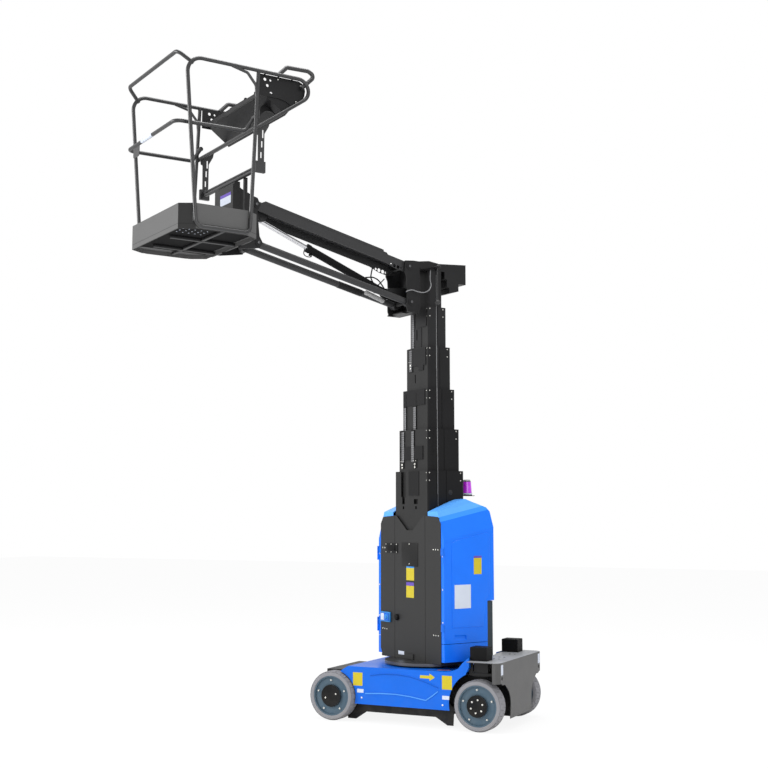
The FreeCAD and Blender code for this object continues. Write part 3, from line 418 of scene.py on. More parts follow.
class Paint(Enum):
    """Every finish of the lift."""

    BLUE = Finish("blue_cover", SEA, rough=0.34, gloss=0.2, coat=0.06, cloud=0.03, dust=0.03)
    SHELL = Finish(
        "blue_shell", srgb(16, 106, 226), rough=0.34, gloss=0.2, coat=0.06, cloud=0.05, cloud_scale=3.0,
        bands=(
            # Painted highlight: the doors' upward-facing shoulders are painted paler blue, palest near the
            # top, as if lit from above.
            turret_band(SHOULDER_HIGHLIGHT_LEAN, 0.0, 1.690, 1.900, srgb(50, 134, 230), 1.0),
            turret_band(SHOULDER_HIGHLIGHT_LEAN, 0.0, 1.730, 1.900, srgb(84, 156, 236), 1.0),
        ),
    )
    # Painted highlight on the lower folds.
    CREASE = Finish("blue_crease", CREST_HIGHLIGHT, rough=0.34, gloss=0.2, cloud=0.03)
    # Dark blue of the painted shade in the upper fold's groove.
    GROOVE_SHADE = Finish("blue_fold", srgb(0, 70, 158), rough=0.34, gloss=0.15, cloud=0.03)
    BLACK = Finish("black_steel", srgb(22, 22, 23), rough=0.42, cloud=0.12, dust=0.08)
    MAST_1 = mast_paint(1, srgb(18, 18, 19), 0.15)
    MAST_2 = mast_paint(2, srgb(19, 19, 20), 0.15)
    MAST_3 = mast_paint(3, srgb(21, 21, 22), 0.16)
    MAST_4 = mast_paint(4, srgb(25, 25, 26), 0.18)
    MAST_5 = mast_paint(5, srgb(30, 30, 31), 0.2)
    MAST_6 = mast_paint(6, srgb(28, 28, 29), 0.2)
    GREY = Finish(
        "grey_sheet", srgb(40, 40, 40), rough=0.5, gloss=0.2, cloud=0.04, grain=0.05,
        bands=(turret_band(0.0, 1.0, *PANEL_EDGE, SEA), turret_band(0.0, -1.0, *PANEL_EDGE, SEA)),
    )
    HATCH = Finish("hatch_sheet", srgb(24, 24, 24), rough=0.5, gloss=0.15, cloud=0.04, grain=0.05)
    END = Finish(
        "end_sheet", srgb(74, 74, 74), rough=0.45, gloss=0.3, cloud=0.04, grain=0.05, dust=0.05,
        # Painted highlight: the end cover's top face, at the top plate's level, is painted paler than the end
        # plate, as if lit from above.
        bands=(Band(UP, 0.5478, 0.5500, srgb(138, 140, 143)),),
    )
    PAN = Finish(
        "pan_grey", srgb(82, 82, 82), rough=0.5, cloud=0.04, grain=0.05,
        bands=(
            corner_band(0.110, 0.071, 1.7613, FACE),
            Band(UP, 3.80, 3.8285, srgb(20, 20, 20)), Band(UP, 3.8632, 3.8664, srgb(12, 12, 12)),
        ),
    )
    # Near-black of the painted shade under the basket floor.
    UNDER_SHADE = Finish("pan_underside", srgb(6, 6, 7), rough=0.7, gloss=0.05, cloud=0.1)
    TUBE = Finish("tube_grey", srgb(40, 40, 41), rough=0.35, gloss=0.5, cloud=0.05, grain=0.03)
    JIB = Finish("jib_grey", srgb(44, 44, 45), rough=0.45, gloss=0.3, cloud=0.05)
    LINK = Finish("link_grey", srgb(46, 46, 47), rough=0.45, gloss=0.3, cloud=0.05)
    TRAY = Finish("tray_black", srgb(34, 34, 35), rough=0.45, cloud=0.05)
    CAST = Finish("cast_grey", srgb(48, 57, 63), rough=0.6, cloud=0.1, grain=0.3, grain_scale=260.0)
    TYRE = Finish(
        "tyre_grey", srgb(126, 126, 130), rough=0.8, gloss=0.15, cloud=0.05, grain=0.25, grain_scale=420.0,
        dust=0.25, dust_top=0.2,
    )
    RIM = Finish("rim_slate", srgb(66, 86, 100), rough=0.4, cloud=0.06, dust=0.1)
    HUB = Finish("hub_black", srgb(14, 15, 16), rough=0.45, gloss=0.15, cloud=0.1, dust=0.05)
    STEEL = Finish("ring_steel", srgb(90, 90, 92), rough=0.35, metallic=0.8, gloss=0.5, cloud=0.1)
    CHROME = Finish(
        "chrome_rod", srgb(205, 205, 208), rough=0.16, metallic=1.0, gloss=0.5, cloud=0.02, grain=0.0,
    )
    ZINC = Finish("zinc_screw", srgb(215, 214, 208), rough=0.28, metallic=0.7, gloss=0.5, cloud=0.04)
    PLASTIC = Finish("black_plastic", srgb(12, 12, 13), rough=0.6, gloss=0.12, cloud=0.05, grain=0.15)
    # Near-black paint of the shade inside sunk holes.
    RECESS_SHADE = Finish("dark_recess", srgb(8, 8, 9), rough=0.7, gloss=0.08, cloud=0.05)
    SLEEVE = Finish("sleeve_grey", srgb(150, 150, 150), rough=0.6, cloud=0.15, cloud_scale=40.0)
    YELLOW = Finish("yellow_label", srgb(184, 168, 36), rough=0.4, cloud=0.02, grain=0.0)
    WHITE = Finish("white_label", srgb(188, 195, 208), rough=0.4, cloud=0.02, grain=0.0)
    PURPLE = Finish("purple_strip", srgb(92, 70, 160), rough=0.4, cloud=0.02, grain=0.0)
    SKY = Finish("blue_strip", srgb(40, 120, 190), rough=0.4, cloud=0.02, grain=0.0)
    RUST = Finish("rust_label", srgb(150, 96, 60), rough=0.5, cloud=0.3, cloud_scale=60.0)
    RED = Finish("stop_red", srgb(186, 24, 22), rough=0.3, gloss=0.5, cloud=0.02, grain=0.0)
    LENS = Finish("beacon_lens", srgb(176, 40, 200), rough=0.15, gloss=0.5, cloud=0.1, coat=0.5)
    HOSE = Finish("hose_rubber", srgb(18, 18, 19), rough=0.6, cloud=0.05, grain=0.2)
    WIRE = Finish("wire_grey", srgb(112, 112, 114), rough=0.4, gloss=0.5, cloud=0.05)
    CHAIN = Finish("leaf_chain", srgb(112, 112, 114), rough=0.4, metallic=0.6, gloss=0.5, cloud=0.15)


@dataclass
class Shop:
    """Materials made once and lent to every piece."""

    made: dict[Paint, bpy.types.Material] = field(default_factory=dict)

    def material(self, paint: Paint) -> bpy.types.Material:
        """The material of a finish, built the first time it is asked for."""
        if paint not in self.made:
            self.made[paint] = paint.value.shade()
        return self.made[paint]

    def coat_node(self, node: bpy.types.Object, paint: Paint) -> None:
        """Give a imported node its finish."""
        if not node.material_slots:
            node.data.materials.append(None)
        for place in node.material_slots:
            place.material = self.material(paint)


def clear_selection() -> None:
    """Leave nothing selected."""
    if bpy.context.object and bpy.context.object.mode != "OBJECT":
        bpy.ops.object.mode_set(mode="OBJECT")
    bpy.ops.object.select_all(action="DESELECT")


def only(obj: bpy.types.Object) -> bpy.types.Object:
    """Select one object alone and make it active."""
    clear_selection()
    obj.select_set(True)
    bpy.context.view_layer.objects.active = obj
    return obj


def edit_all(obj: bpy.types.Object) -> None:
    """Enter edit mode with every face selected."""
    only(obj)
    bpy.ops.object.mode_set(mode="EDIT")
    bpy.ops.mesh.select_mode(type="FACE")
    bpy.ops.mesh.select_all(action="SELECT")


def leave_edit() -> None:
    """Go back to object mode."""
    bpy.ops.object.mode_set(mode="OBJECT")


def pick_faces(obj: bpy.types.Object, wanted: Callable[[Vector, Vector], bool]) -> None:
    """In edit mode, select the faces whose centre and normal the test takes.

    Args:
        obj: the mesh in edit mode.
        wanted: a test of a face's centre and normal.
    """
    bpy.ops.mesh.select_all(action="DESELECT")
    bpy.ops.object.mode_set(mode="OBJECT")
    for face in obj.data.polygons:
        face.select = bool(wanted(face.center, face.normal))
    bpy.ops.object.mode_set(mode="EDIT")


def rounded_block(name: str, size: Triple, radius: float, segments: int = 2) -> bpy.types.Object:
    """Block on the origin's plane with its edges rounded.

    Args:
        name: the piece's name.
        size: width, depth and height, the height rising from z = 0.
        radius: the edges' radius.
        segments: facets across each edge.

    Returns:
        The new piece.
    """
    clear_selection()
    bpy.ops.mesh.primitive_cube_add(size=1.0, location=(0, 0, size[2] / 2))
    piece = bpy.context.object
    piece.name = name
    piece.scale = size
    bpy.ops.object.transform_apply(location=True, rotation=True, scale=True)
    edit_all(piece)
    bpy.ops.mesh.bevel(offset=radius, segments=segments, affect="EDGES")
    leave_edit()
    return piece


def screw_head(sides: int = 6, socket: bool = True) -> bpy.types.Object:
    """Screw head of unit radius and height on the origin's plane, with a chamfer and a socket.

    Args:
        sides: corners round the head.
        socket: whether the top has a sunk socket.

    Returns:
        The new piece.
    """
    clear_selection()
    bpy.ops.mesh.primitive_cylinder_add(vertices=sides, radius=1.0, depth=1.0, location=(0, 0, 0.5))
    piece = bpy.context.object
    bpy.ops.object.transform_apply(location=True, rotation=True, scale=True)
    edit_all(piece)
    pick_faces(piece, lambda centre, normal: normal.z > 0.9)
    bpy.ops.mesh.inset(thickness=0.18, depth=0.2)
    if socket:
        bpy.ops.mesh.inset(thickness=0.3)
        bpy.ops.mesh.inset(thickness=0.05, depth=-0.5)
    leave_edit()
    return piece


def joined(pieces: list[bpy.types.Object], name: str) -> bpy.types.Object:
    """Several pieces made into one.

    Args:
        pieces: the pieces, of which the first takes up the others.
        name: the joined piece's name.

    Returns:
        The joined piece.
    """
    clear_selection()
    for piece in pieces:
        piece.select_set(True)
    bpy.context.view_layer.objects.active = pieces[0]
    if len(pieces) > 1:
        bpy.ops.object.join()
    pieces[0].name = name
    return pieces[0]


def copies(template: bpy.types.Object, name: str, places: list[Matrix]) -> bpy.types.Object:
    """One piece made of copies of a template at the given places; the template goes.

    Args:
        template: the piece that is copied.
        name: the joined piece's name.
        places: one matrix to the row frame for each copy.

    Returns:
        The joined piece.
    """
    made = []
    for place in places:
        one = template.copy()
        one.data = template.data.copy()
        one.data.transform(place)
        bpy.context.collection.objects.link(one)
        made.append(one)
    bpy.data.objects.remove(template)
    return joined(made, name)


def spun(name: str, outline: list[Pair], steps: int) -> bpy.types.Object:
    """Solid of revolution about +Z from an outline of radius and height.

    Args:
        name: the piece's name.
        outline: closed outline, as pairs of radius and height.
        steps: facets round the axis.

    Returns:
        The new piece.
    """
    clear_selection()
    bpy.ops.mesh.primitive_circle_add(vertices=len(outline), radius=1.0)
    piece = bpy.context.object
    piece.name = name
    for corner, (radius, height) in zip(piece.data.vertices, outline):
        corner.co = (radius, 0.0, height)
    only(piece)
    bpy.ops.object.mode_set(mode="EDIT")
    bpy.ops.mesh.select_all(action="SELECT")
    bpy.ops.mesh.spin(steps=steps, angle=math.tau, center=(0, 0, 0), axis=(0, 0, 1))
    bpy.ops.mesh.select_all(action="SELECT")
    bpy.ops.mesh.remove_doubles(threshold=0.00001)
    bpy.ops.mesh.normals_make_consistent(inside=False)
    leave_edit()
    return piece


def outlined(name: str, points: list[Pair], height: float, bevel: float = 0.0) -> bpy.types.Object:
    """Flat plate on the origin's plane from an outline, with its upper edge bevelled.

    Args:
        name: the piece's name.
        points: outline in x and y.
        height: the plate's thickness.
        bevel: size of the bevel round its upper face.

    Returns:
        The new piece.
    """
    clear_selection()
    bpy.ops.mesh.primitive_circle_add(vertices=len(points), radius=1.0, fill_type="NGON")
    piece = bpy.context.object
    piece.name = name
    for corner, (x, y) in zip(piece.data.vertices, points):
        corner.co = (x, y, 0.0)
    edit_all(piece)
    bpy.ops.mesh.extrude_region_move(TRANSFORM_OT_translate={"value": (0, 0, height)})
    if bevel:
        bpy.ops.mesh.bevel(offset=bevel, segments=3, affect="EDGES")
    bpy.ops.mesh.select_all(action="SELECT")
    bpy.ops.mesh.normals_make_consistent(inside=False)
    leave_edit()
    return piece


def hose(name: str, points: list[Vector], radius: float) -> bpy.types.Object:
    """Smooth round line through the air along its control points.

    Args:
        name: the piece's name.
        points: control points in the row frame.
        radius: the line's radius.

    Returns:
        The new curve piece.
    """
    line = bpy.data.curves.new(name, "CURVE")
    line.dimensions = "3D"
    line.bevel_depth = radius
    line.bevel_resolution = 2
    line.resolution_u = 6
    line.use_fill_caps = True
    run = line.splines.new("NURBS")
    run.points.add(len(points) - 1)
    for place, point in zip(run.points, points):
        place.co = (*point, 1.0)
    run.order_u = 3
    run.use_endpoint_u = True
    piece = bpy.data.objects.new(name, line)
    bpy.context.collection.objects.link(piece)
    return piece


@dataclass(frozen=True)
class Plate:
    """A rounded block on a flat face, or a blank sticker where it is thin."""

    name: str
    place: Triple
    normal: Triple
    size: Triple
    paint: Paint
    radius: float = 0.002
    segments: int = 2
    side: Side = Side.TURRET
    spin: float = 0.0


def sticker(
    name: str, place: Triple, normal: Triple, size: Pair, paint: Paint, side: Side = Side.TURRET,
    spin: float = 0.0,
) -> Plate:
    """Blank sticker with rounded corners.

    Args:
        name: the piece's name.
        place: the sticker's middle.
        normal: the direction that it faces.
        size: its width and height.
        paint: its finish.
        side: the frame that place and normal are given in.
        spin: turn about the normal, in radians.

    Returns:
        The sticker.
    """
    return Plate(name, place, normal, (*size, STICKER_DEPTH), paint, STICKER_EDGE, 1, side, spin)


@dataclass
class Assembly:
    """What every sub-assembly shares: the two frames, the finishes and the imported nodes."""

    places: dict[Side, Ground]
    shop: Shop
    nodes: dict[str, bpy.types.Object]

    def coat(self, paint: Paint, *names: str) -> None:
        """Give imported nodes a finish."""
        for name in names:
            if name in self.nodes:
                self.shop.coat_node(self.nodes[name], paint)

    def fit(self, piece: bpy.types.Object, body: str, paint: Paint, slot: str = "black_plastic") -> None:
        """Paint a piece and let it ride on a body.

        Args:
            piece: the piece, already in its place.
            body: the body that carries it.
            paint: its finish.
            slot: not used.
        """
        piece.data.materials.clear()
        piece.data.materials.append(self.shop.material(paint))
        if piece.type == "MESH":
            only(piece)
            bpy.ops.object.shade_smooth_by_angle(angle=SMOOTH_ANGLE)
        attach(piece, body)
        LOG.info("%s rides on %s", piece.name, body)

    def stand(
        self, piece: bpy.types.Object, place: Triple, normal: Triple, body: str, paint: Paint,
        slot: str = "black_plastic",
    ) -> None:
        """Stand a piece made along +Z on a place of the turret frame and fit it.

        Args:
            piece: the piece, on the origin's plane.
            place: where its foot goes.
            normal: where its axis points.
            body: the body that carries it.
            paint: its finish.
            slot: not used; it is only handed on to fit.
        """
        piece.data.transform(self.places[Side.TURRET].facing(place, normal))
        self.fit(piece, body, paint, slot)

    def plates(self, rows: list[Plate], body: str) -> None:
        """Make plates and stickers and stand them on their faces.

        Args:
            rows: the plates.
            body: the body that carries them.
        """
        for row in rows:
            piece = rounded_block(row.name, row.size, row.radius, row.segments)
            piece.data.transform(self.places[row.side].facing(row.place, row.normal, row.spin))
            self.fit(piece, body, row.paint)

    def heads(
        self, name: str, body: str, spots: list[Head], paint: Paint = Paint.ZINC, sides: int = 6,
        socket: bool = True, side: Side = Side.TURRET, slot: str = "ring_steel",
    ) -> None:
        """Screw heads that make one piece.

        Args:
            name: the piece's name.
            body: the body that carries it.
            spots: place, normal, radius and height of each head.
            paint: the heads' finish.
            sides: corners round each head.
            socket: whether each top has a sunk socket.
            side: the frame that places and normals are given in.
            slot: not used; it is only handed on to fit.
        """
        ground = self.places[side]
        places = [
            ground.facing(place, normal) @ Matrix.Diagonal((radius, radius, height, 1.0))
            for place, normal, radius, height in spots
        ]
        self.fit(copies(screw_head(sides, socket), name, places), body, paint, slot)


@dataclass
class Wheels(Assembly):
    """Tyres with their tread, rims and bolts."""

    wheel_r: float = 0.203
    tyre_w: float = 0.125
    rim_r: float = 0.163
    tread_depth: float = 0.0045
    blocks: int = 26
    bolt_ring: float = 0.128
    hub_ring: float = 0.052
    bolt_turn: float = 0.35
    bolt_size: Pair = (0.0085, 0.010)
    screw_size: Pair = (0.0075, 0.005)
    bolt_sink: float = 0.022
    drive_hub: Pair = (0.0925, -0.004)
    steer_hub: Pair = (0.0885, 0.002)
    block_gap: float = 0.004
    block_slant: float = 0.010
    shoulder_drop: float = 0.006

    def tyre(self, name: str) -> bpy.types.Object:
        """Tyre body with a rounded shoulder, its axis along +Z."""
        half = self.tyre_w / 2
        r = self.wheel_r - self.tread_depth
        inner = self.rim_r
        lower = [
            (inner, -half + 0.006), (inner + 0.004, -half + 0.002), (r - 0.016, -half),
            (r - 0.006, -half + 0.003), (r, -half + 0.012),
        ]
        return spun(name, lower + [(radius, -z) for radius, z in reversed(lower)], 72)

    def tread(self, name: str) -> bpy.types.Object:
        """Two staggered rings of slanted tread blocks."""
        half = self.tyre_w / 2
        pitch = math.tau / self.blocks
        height = self.tread_depth + 0.002
        clear_selection()
        bpy.ops.mesh.primitive_cube_add(size=1.0)
        block = bpy.context.object
        run = self.wheel_r * pitch - self.block_gap
        width = half - self.block_gap
        low = self.wheel_r - height
        edit_all(block)
        bpy.ops.mesh.subdivide(number_cuts=2)
        leave_edit()
        for corner in block.data.vertices:
            along = corner.co.x * run / self.wheel_r
            across = corner.co.y * width
            slant = self.block_slant * abs(corner.co.y + 0.5) / self.wheel_r
            radius = low + (corner.co.z + 0.5) * height
            if corner.co.y > 0.4:
                radius -= self.shoulder_drop * (corner.co.z + 0.5)
            turn = along + slant
            corner.co = (radius * math.cos(turn), radius * math.sin(turn), across)
        out = Matrix.Translation((0, 0, half / 2 - self.block_gap / 2))
        over = Matrix.Rotation(math.pi, 4, "X")
        places = []
        for index in range(self.blocks):
            turn = index * pitch
            places.append(Matrix.Rotation(turn, 4, "Z") @ out)
            places.append(Matrix.Rotation(turn + pitch / 2, 4, "Z") @ over @ out)
        return copies(block, name, places)

    def build(self) -> None:
        """Make and dress the four wheels."""
        ground = self.places[Side.CHASSIS]
        for axle in ("drive", "steer"):
            for sign, side in SIDES:
                key = f"{axle}_{side}"
                low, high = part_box(f"tyre_{key}")
                centre = Vector([(a + b) / 2 for a, b in zip(low, high)]) - ground.origin
                stand = ground.facing(tuple(centre), (0, sign, 0))
                name = f"tyre_body_{key}"
                tyre = joined([self.tyre(name), self.tread(f"tyre_tread_{key}")], name)
                tyre.data.transform(stand)
                self.fit(tyre, f"wheel_{key}", Paint.TYRE, "tyre_grey")
                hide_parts(f"tyre_{key}")
                self.coat(Paint.RIM, f"rim_{key}")
                self.bolts(key, axle == "drive", stand)

    def bolts(self, key: str, driven: bool, stand: Matrix) -> None:
        """Hub cap, wheel bolts and hub screws of one wheel.

        Args:
            key: the wheel's axle and side.
            driven: whether the wheel is a driven one.
            stand: matrix that stands a piece made along +Z on the wheel's middle.
        """
        out = self.tyre_w / 2
        hub_r, proud = self.drive_hub if driven else self.steer_hub
        hub_top = out + proud
        face, lip, foot = hub_top + 0.0006, hub_top + 0.0022, hub_top - 0.012
        edge = hub_r + 0.0006
        cap = spun(f"hub_cap_{key}", [
            (0.0, face), (hub_r - 0.016, face), (hub_r - 0.011, lip), (hub_r - 0.003, lip),
            (edge, hub_top - 0.003), (edge, foot), (0.0, foot),
        ], 56)
        cap.data.transform(stand)
        self.fit(cap, f"wheel_{key}", Paint.HUB, "black_steel")
        places = []
        for count, ring, level, (radius, height) in (
            (5, self.bolt_ring, out - self.bolt_sink, self.bolt_size),
            (2 if driven else 6, self.hub_ring, face, self.screw_size),
        ):
            for index in range(count):
                turn = math.tau * index / count + self.bolt_turn
                spot = Matrix.Translation((ring * math.cos(turn), ring * math.sin(turn), level))
                places.append(stand @ spot @ Matrix.Diagonal((radius, radius, height, 1.0)))
        bolts = copies(screw_head(), f"wheel_bolts_{key}", places)
        self.fit(bolts, f"wheel_{key}", Paint.ZINC, "ring_steel")


@dataclass
class Chassis(Assembly):
    """Cover, steered end, skirt and the labels on them."""

    cover_half: float = 0.450
    crease: float = 0.004
    end_x: float = 0.857
    end_top: float = 0.549
    screw_size: Pair = (0.007, 0.004)
    hole_size: Pair = (0.009, 0.0012)

    def arrows(self) -> None:
        """Yellow arrow on each side that points to the steered end."""
        self.on_sides("travel_arrow", [
            (0.1445, 0.390), (0.2295, 0.390), (0.2295, 0.373), (0.2775, 0.402),
            (0.2295, 0.431), (0.2295, 0.414), (0.1445, 0.414),
        ], 0.0, Paint.YELLOW)

    def creases(self) -> None:
        """Strips of painted highlight and painted shade along the pressed folds low on each side of the
        cover.
        """
        # Painted highlight: a pale strip on the lip of each lower fold, which faces up into the light.
        self.on_sides("fold_crest", [
            (-0.356, 0.2315), (-0.220, 0.2400), (-0.080, 0.2430), (0.060, 0.2320), (0.196, 0.2110),
            (0.252, 0.2470), (0.306, 0.2900), (0.306, 0.2980), (0.250, 0.2560), (0.196, 0.2195),
            (0.060, 0.2405), (-0.080, 0.2510), (-0.220, 0.2490), (-0.356, 0.2405),
        ], self.crease, Paint.CREASE)
        # Painted shade: a dark strip in the groove of the upper fold.
        self.on_sides("fold_shade", [
            (-0.309, 0.3830), (-0.186, 0.4010), (-0.060, 0.4035), (0.060, 0.3910), (0.182, 0.3620),
            (0.305, 0.3180), (0.305, 0.3225), (0.182, 0.3665), (0.060, 0.3955), (-0.060, 0.4080),
            (-0.186, 0.4055), (-0.309, 0.3875),
        ], self.crease, Paint.GROOVE_SHADE)

    def on_sides(self, name: str, points: list[Pair], off: float, paint: Paint) -> None:
        """Stand a flat outline on both sides of the cover.

        Args:
            name: the pieces' name, without the side.
            points: the outline in x and z.
            off: distance off the cover's face.
            paint: the pieces' finish.
        """
        ground = self.places[Side.CHASSIS]
        for sign, side in SIDES:
            piece = outlined(f"{name}_{side}", [(x, -sign * z) for x, z in points], STICKER_DEPTH)
            turn = Matrix.Rotation(-math.pi / 2 * sign, 4, "X")
            face = Matrix.Translation((0.0, sign * (self.cover_half + off), 0.0))
            piece.data.transform(ground.matrix() @ face @ turn)
            self.fit(piece, "chassis", paint)

    def build(self) -> None:
        """Coat the chassis and add its labels and screws."""
        self.coat(Paint.BLUE, "chassis_cover")
        self.coat(Paint.END, "steer_end_cover")
        self.coat(Paint.BLACK, "chassis_frame", "steer_frame", "belly_skirt", "tie_rod")
        self.coat(Paint.BLACK, "knuckle_left", "knuckle_right")
        self.coat(Paint.PLASTIC, "pin_boxes")
        self.coat(Paint.STEEL, "slew_ring")
        self.arrows()
        self.creases()
        self.labels()
        self.screws()

    def labels(self) -> None:
        """Blank labels on the cover's sides and on the steered end, and a worn patch."""
        rows = []
        for sign, side in SIDES:
            for name, x, z, size, paint in (
                ("load_label_rear", -0.4275, 0.350, (0.089, 0.108), Paint.YELLOW),
                ("load_label_front", 0.3835, 0.367, (0.088, 0.110), Paint.YELLOW),
                ("note_rear", -0.403, 0.255, (0.060, 0.030), Paint.WHITE),
                ("note_front", 0.372, 0.247, (0.062, 0.030), Paint.WHITE),
            ):
                place = (x, sign * self.cover_half, z)
                rows.append(sticker(f"{name}_{side}", place, (0.0, sign, 0.0), size, paint, Side.CHASSIS))
        for sign, side in SIDES:
            place = (self.end_x, sign * 0.447, 0.492)
            rows.append(sticker(f"end_note_{side}", place, AHEAD, (0.048, 0.080), Paint.WHITE, Side.CHASSIS))
        rows.append(sticker(
            "worn_patch", (0.315, -0.352, 0.452), UP, (0.105, 0.040), Paint.RUST, Side.CHASSIS, 0.3,
        ))
        self.plates(rows, "chassis")

    def screws(self) -> None:
        """Cover screws, and near-black discs of painted shade inside the sunk screw holes of the end's top
        plate.
        """
        self.heads("cover_screws", "chassis", [
            ((x, sign * self.cover_half, z), (0, sign, 0), *self.screw_size)
            for sign in (-1, 1) for x, z in ((-0.389, 0.200), (0.345, 0.187))
        ], sides=12, side=Side.CHASSIS)
        # Near-black discs paint the shade inside the sunk screw holes of the top plate.
        self.heads("end_plate_holes", "chassis", [
            ((x, y, self.end_top), UP, *self.hole_size)
            for y in (-0.215, -0.09, 0.16) for x in (0.700, 0.745)
        ], Paint.RECESS_SHADE, 16, side=Side.CHASSIS, slot="black_steel")


@dataclass
class Turret(Assembly):
    """Side covers, front panels and tail of the slewing part."""

    front: float = 0.170
    rim: float = 0.165
    side: float = 0.490
    field: float = 0.004
    rivet: float = 0.003
    rivet_r: float = 0.0052
    rivet_pitch: float = 0.033
    hinge_v: float = 0.382
    hatch_depth: float = 0.0032
    hatch_screw_r: float = 0.005
    latch_depth: float = 0.0056
    latch_screw_r: float = 0.0045
    lid_depth: float = 0.0218
    rim_v: float = 0.472
    rim_screw_r: float = 0.0065
    beacon_foot: Triple = (-0.372, 0.100, 1.905)

    def build(self) -> None:
        """Coat the turret and add its fittings, labels, rivets and screws."""
        self.coat(Paint.SHELL, "door_left", "door_right", "lower_skirts")
        self.coat(Paint.GREY, "turret_frame")
        self.coat(Paint.CAST, "counterweight")
        self.coat(Paint.BLACK, "battery_block", "beacon")
        self.fittings()
        self.fields()
        self.stickers()
        self.rivets()
        self.beacon_lens()

    def fittings(self) -> None:
        """Hatch, latch, charging socket and knob on the front panels."""
        f = self.front
        latch, socket = (-0.2725, 1.4275), (-0.3595, 0.8305)
        self.plates([
            Plate("service_hatch", (f, 0.004, 1.378), AHEAD, (0.2425, 0.2005, self.hatch_depth),
                  Paint.HATCH, 0.001),
            Plate("latch_plate", (f, *latch), AHEAD, (0.190, 0.084, self.latch_depth), Paint.HUB),
            Plate("latch_paddle", (f, -0.273, 1.428), AHEAD, (0.116, 0.050, 0.0128), Paint.PLASTIC, 0.004),
            Plate("socket_body", (f, *socket), AHEAD, (0.1445, 0.0865, 0.0168), Paint.SKY, 0.003),
            Plate("socket_lid", (f, *socket), AHEAD, (0.1225, 0.0665, self.lid_depth), Paint.BLUE, 0.004),
            Plate("socket_tag", (f + self.lid_depth, -0.392, 0.8305), AHEAD, (0.050, 0.058, STICKER_DEPTH),
                  Paint.WHITE, 0.0003),
            Plate("axis_tag", (f, -0.130, 0.5405), AHEAD, (0.088, 0.030, STICKER_DEPTH), Paint.WHITE, 0.0003),
        ], "turret")
        knob = spun("vent_knob", [
            (0.0, 0.024), (0.018, 0.024), (0.024, 0.021), (0.027, 0.014), (0.027, 0.0), (0.0, 0.0),
        ], 28)
        self.stand(knob, (f, -0.187, 0.838), AHEAD, "turret", Paint.PLASTIC)
        nose = spun("socket_nose", [
            (0.0, 0.012), (0.014, 0.012), (0.017, 0.009), (0.022, 0.002), (0.024, 0.0), (0.0, 0.0),
        ], 24)
        self.stand(nose, (f + 0.0215, -0.331, 0.832), AHEAD, "turret", Paint.SKY)

    def fields(self) -> None:
        """Pressed field on each side cover, with a slanting top and a step at the tail."""
        line = [
            (0.086, 0.790), (0.086, 1.470), (0.060, 1.500), (-0.285, 1.570), (-0.310, 1.550),
            (-0.312, 1.060), (-0.262, 1.010), (-0.240, 0.790),
        ]
        turn = Matrix.Rotation(math.pi / 2, 4, "X")
        for sign, body in ((1, "cover_left"), (-1, "cover_right")):
            piece = outlined(f"field_{body}", line, self.field, self.field * 0.9)
            flip = Matrix.Scale(-1, 4, (0, 1, 0)) if sign > 0 else Matrix.Identity(4)
            face = Matrix.Translation((0, sign * self.side, 0))
            piece.data.transform(self.places[Side.TURRET].matrix() @ face @ flip @ turn)
            edit_all(piece)
            bpy.ops.mesh.normals_make_consistent(inside=False)
            leave_edit()
            self.fit(piece, body, Paint.SHELL, "blue_cover")

    def stickers(self) -> None:
        """Blank stickers with their coloured strips."""
        self.plates([
            sticker(name, (self.front, v, z), AHEAD, size, paint) for name, v, z, size, paint in (
                ("front_sign_upper", 0.008, 1.212, (0.116, 0.104), Paint.YELLOW),
                ("front_strip_upper", 0.008, 1.275, (0.116, 0.022), Paint.SKY),
                ("front_sign_lower", 0.006, 1.064, (0.114, 0.100), Paint.YELLOW),
                ("front_strip_lower", 0.006, 1.129, (0.114, 0.028), Paint.PURPLE),
            )
        ], "turret")
        side = self.side + self.field
        self.plates([
            sticker(name, (u, side, z), (0.0, 1.0, 0.0), size, paint) for name, u, z, size, paint in (
                ("side_sign", -0.023, 1.043, (0.168, 0.194), Paint.WHITE),
                ("side_warning", -0.181, 1.290, (0.082, 0.134), Paint.YELLOW),
                ("side_warning_strip", -0.181, 1.366, (0.082, 0.018), Paint.PURPLE),
            )
        ], "cover_left")

    def rivets(self) -> None:
        """Rivets at the cover hinges, screws of the hatch and latch, and rim screws of the covers."""
        f = self.front
        spots = [
            ((f + self.hatch_depth, 0.0, z), AHEAD, self.hatch_screw_r, self.rivet) for z in (1.466, 1.300)
        ]
        spots += [
            ((f + self.latch_depth, v, z), AHEAD, self.latch_screw_r, self.rivet)
            for v in (-0.355, -0.275, -0.192) for z in (1.461, 1.394)
        ]
        spots += [
            ((f, sign * (self.hinge_v + self.rivet_pitch * step), z), AHEAD, self.rivet_r, self.rivet)
            for sign in (-1, 1) for z in (0.726, 1.428) for step in (-1, 0, 1)
        ]
        self.heads("panel_rivets", "turret", spots, sides=12, socket=False)
        for sign, body in ((1, "cover_left"), (-1, "cover_right")):
            spots = [
                ((self.rim, sign * self.rim_v, z), AHEAD, self.rim_screw_r, self.rivet)
                for z in (1.375, 1.104, 0.837)
            ]
            self.heads(f"rim_screws_{body}", body, spots, sides=12)

